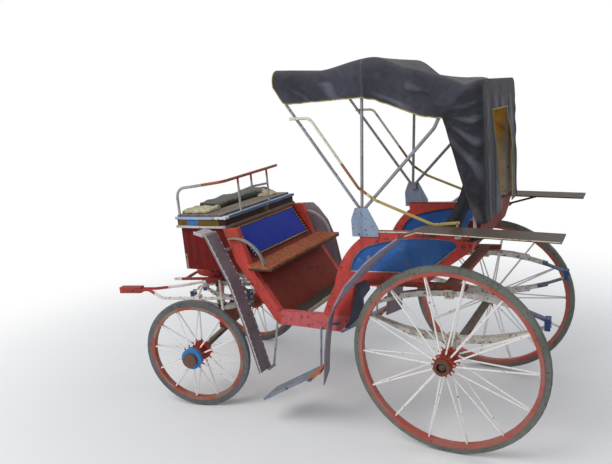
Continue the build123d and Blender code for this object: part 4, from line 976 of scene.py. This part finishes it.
# %% [markdown]
# Thin trim carries much of the look of a coach: a cream bead round each blue panel and along the
# top rail, and white rivet heads with a whitened edge on the mudguards. Each bead is a round cord
# on the panel's own outline, and each rivet a small dome sunk halfway into the iron.

# %% Cream beads of the body
# Trim paint is thick and pale, so even a thin line of it stands out, and it chips to brown.
cream_bead = weathered("cream paint on half round bead", "#e6e0cf", "#c4b898", "#6f5a48", 14, 0.34, 0.6, 0.0,
                       0.2)
panel_y, rail_y, rail_z = 418.5, 430.5, 1133


def arc_through(a, b, c, steps=14):
    """Points of the circle from a through b to c, each (x, z) in mm."""
    (ax, az), (bx, bz), (cx, cz) = a, b, c
    d = 2 * (ax * (bz - cz) + bx * (cz - az) + cx * (az - bz))
    a2, b2, c2 = ax * ax + az * az, bx * bx + bz * bz, cx * cx + cz * cz
    ox = (a2 * (bz - cz) + b2 * (cz - az) + c2 * (az - bz)) / d
    oz = (a2 * (cx - bx) + b2 * (ax - cx) + c2 * (bx - ax)) / d
    turns = [math.atan2(z - oz, x - ox) for x, z in (a, b, c)]
    way = sum(math.remainder(turns[i + 1] - turns[i], 2 * math.pi) for i in (0, 1))
    radius = math.hypot(ax - ox, az - oz)
    angles = [turns[0] + way * i / steps for i in range(steps + 1)]
    return [(ox + radius * math.cos(angle), oz + radius * math.sin(angle)) for angle in angles]


outline = [(-548, 908), (-125, 916), (-20, 1000), (52, 1062)]
outline += arc_through((30, 1092), (-200, 1100), (-430, 1056))
outline += arc_through((-430, 1056), (-507, 1000), (-548, 908))
bead_runs = []
for side in (-1, 1):
    bead_runs.append([spot(x, side * panel_y, z) for x, z in outline])
    bead_runs.append([spot(x, side * rail_y, rail_z) for x in range(-474, 141, 40)])
round_cord("body_beads", bead_runs, 4.0, cream_bead)

# %% Rivets and whitened edges of the guards
# White paint picked out by hand: matt and chipped, it draws each rivet as a bright dot.
white_edge = weathered("white paint on rivets and edges", "#dedbd8", "#c4bebb", "#6a5a55", 12, 0.3, 0.6, 0.0,
                       0.2)
front_line = ((-1468, 1132), (-1388, 1112), (-1264, 850), (-1186, 590), (-1112, 300))
rear_line = ((552, 1148), (-92, 1180), (-150, 1162))
rivet_pitch, guard_thick, rivet_ys, front_edge_y, rear_edge_y = 40, 14, (-573, -475), -579, 629


def even_steps(line, pitch):
    """Points every pitch mm along a polyline in x and z."""
    places, left = [], 0.0
    for a, b in zip(line, line[1:]):
        length = math.hypot(b[0] - a[0], b[1] - a[1])
        while left < length:
            places.append((a[0] + (b[0] - a[0]) * left / length, a[1] + (b[1] - a[1]) * left / length))
            left += pitch
        left -= length
    return places


def beside(line, off):
    """The line moved to its upper right by off mm, its corners mitred."""
    ways = [Vector((a[1] - b[1], b[0] - a[0])).normalized() for a, b in zip(line, line[1:])]
    moved = []
    for i, (x, z) in enumerate(line):
        after = ways[min(i, len(ways) - 1)]
        both = (ways[max(i - 1, 0)] + after).normalized()
        both *= off / both.dot(after)
        moved.append((x + both.x, z + both.y))
    return moved


guard_face = beside(front_line, guard_thick)
front_rivets = [spot(x, y, z) for x, z in even_steps(guard_face, rivet_pitch) for y in rivet_ys]
domes("front_guard_rivets", front_rivets, 5.0, white_edge)
round_cord("front_guard_edge", [[spot(x, front_edge_y, z) for x, z in guard_face]], 2.6, white_edge)
rear_runs = [[spot(x, side * rear_edge_y, z - 1) for x, z in rear_line] for side in (-1, 1)]
round_cord("rear_guard_edge", rear_runs, 2.4, cream_bead)
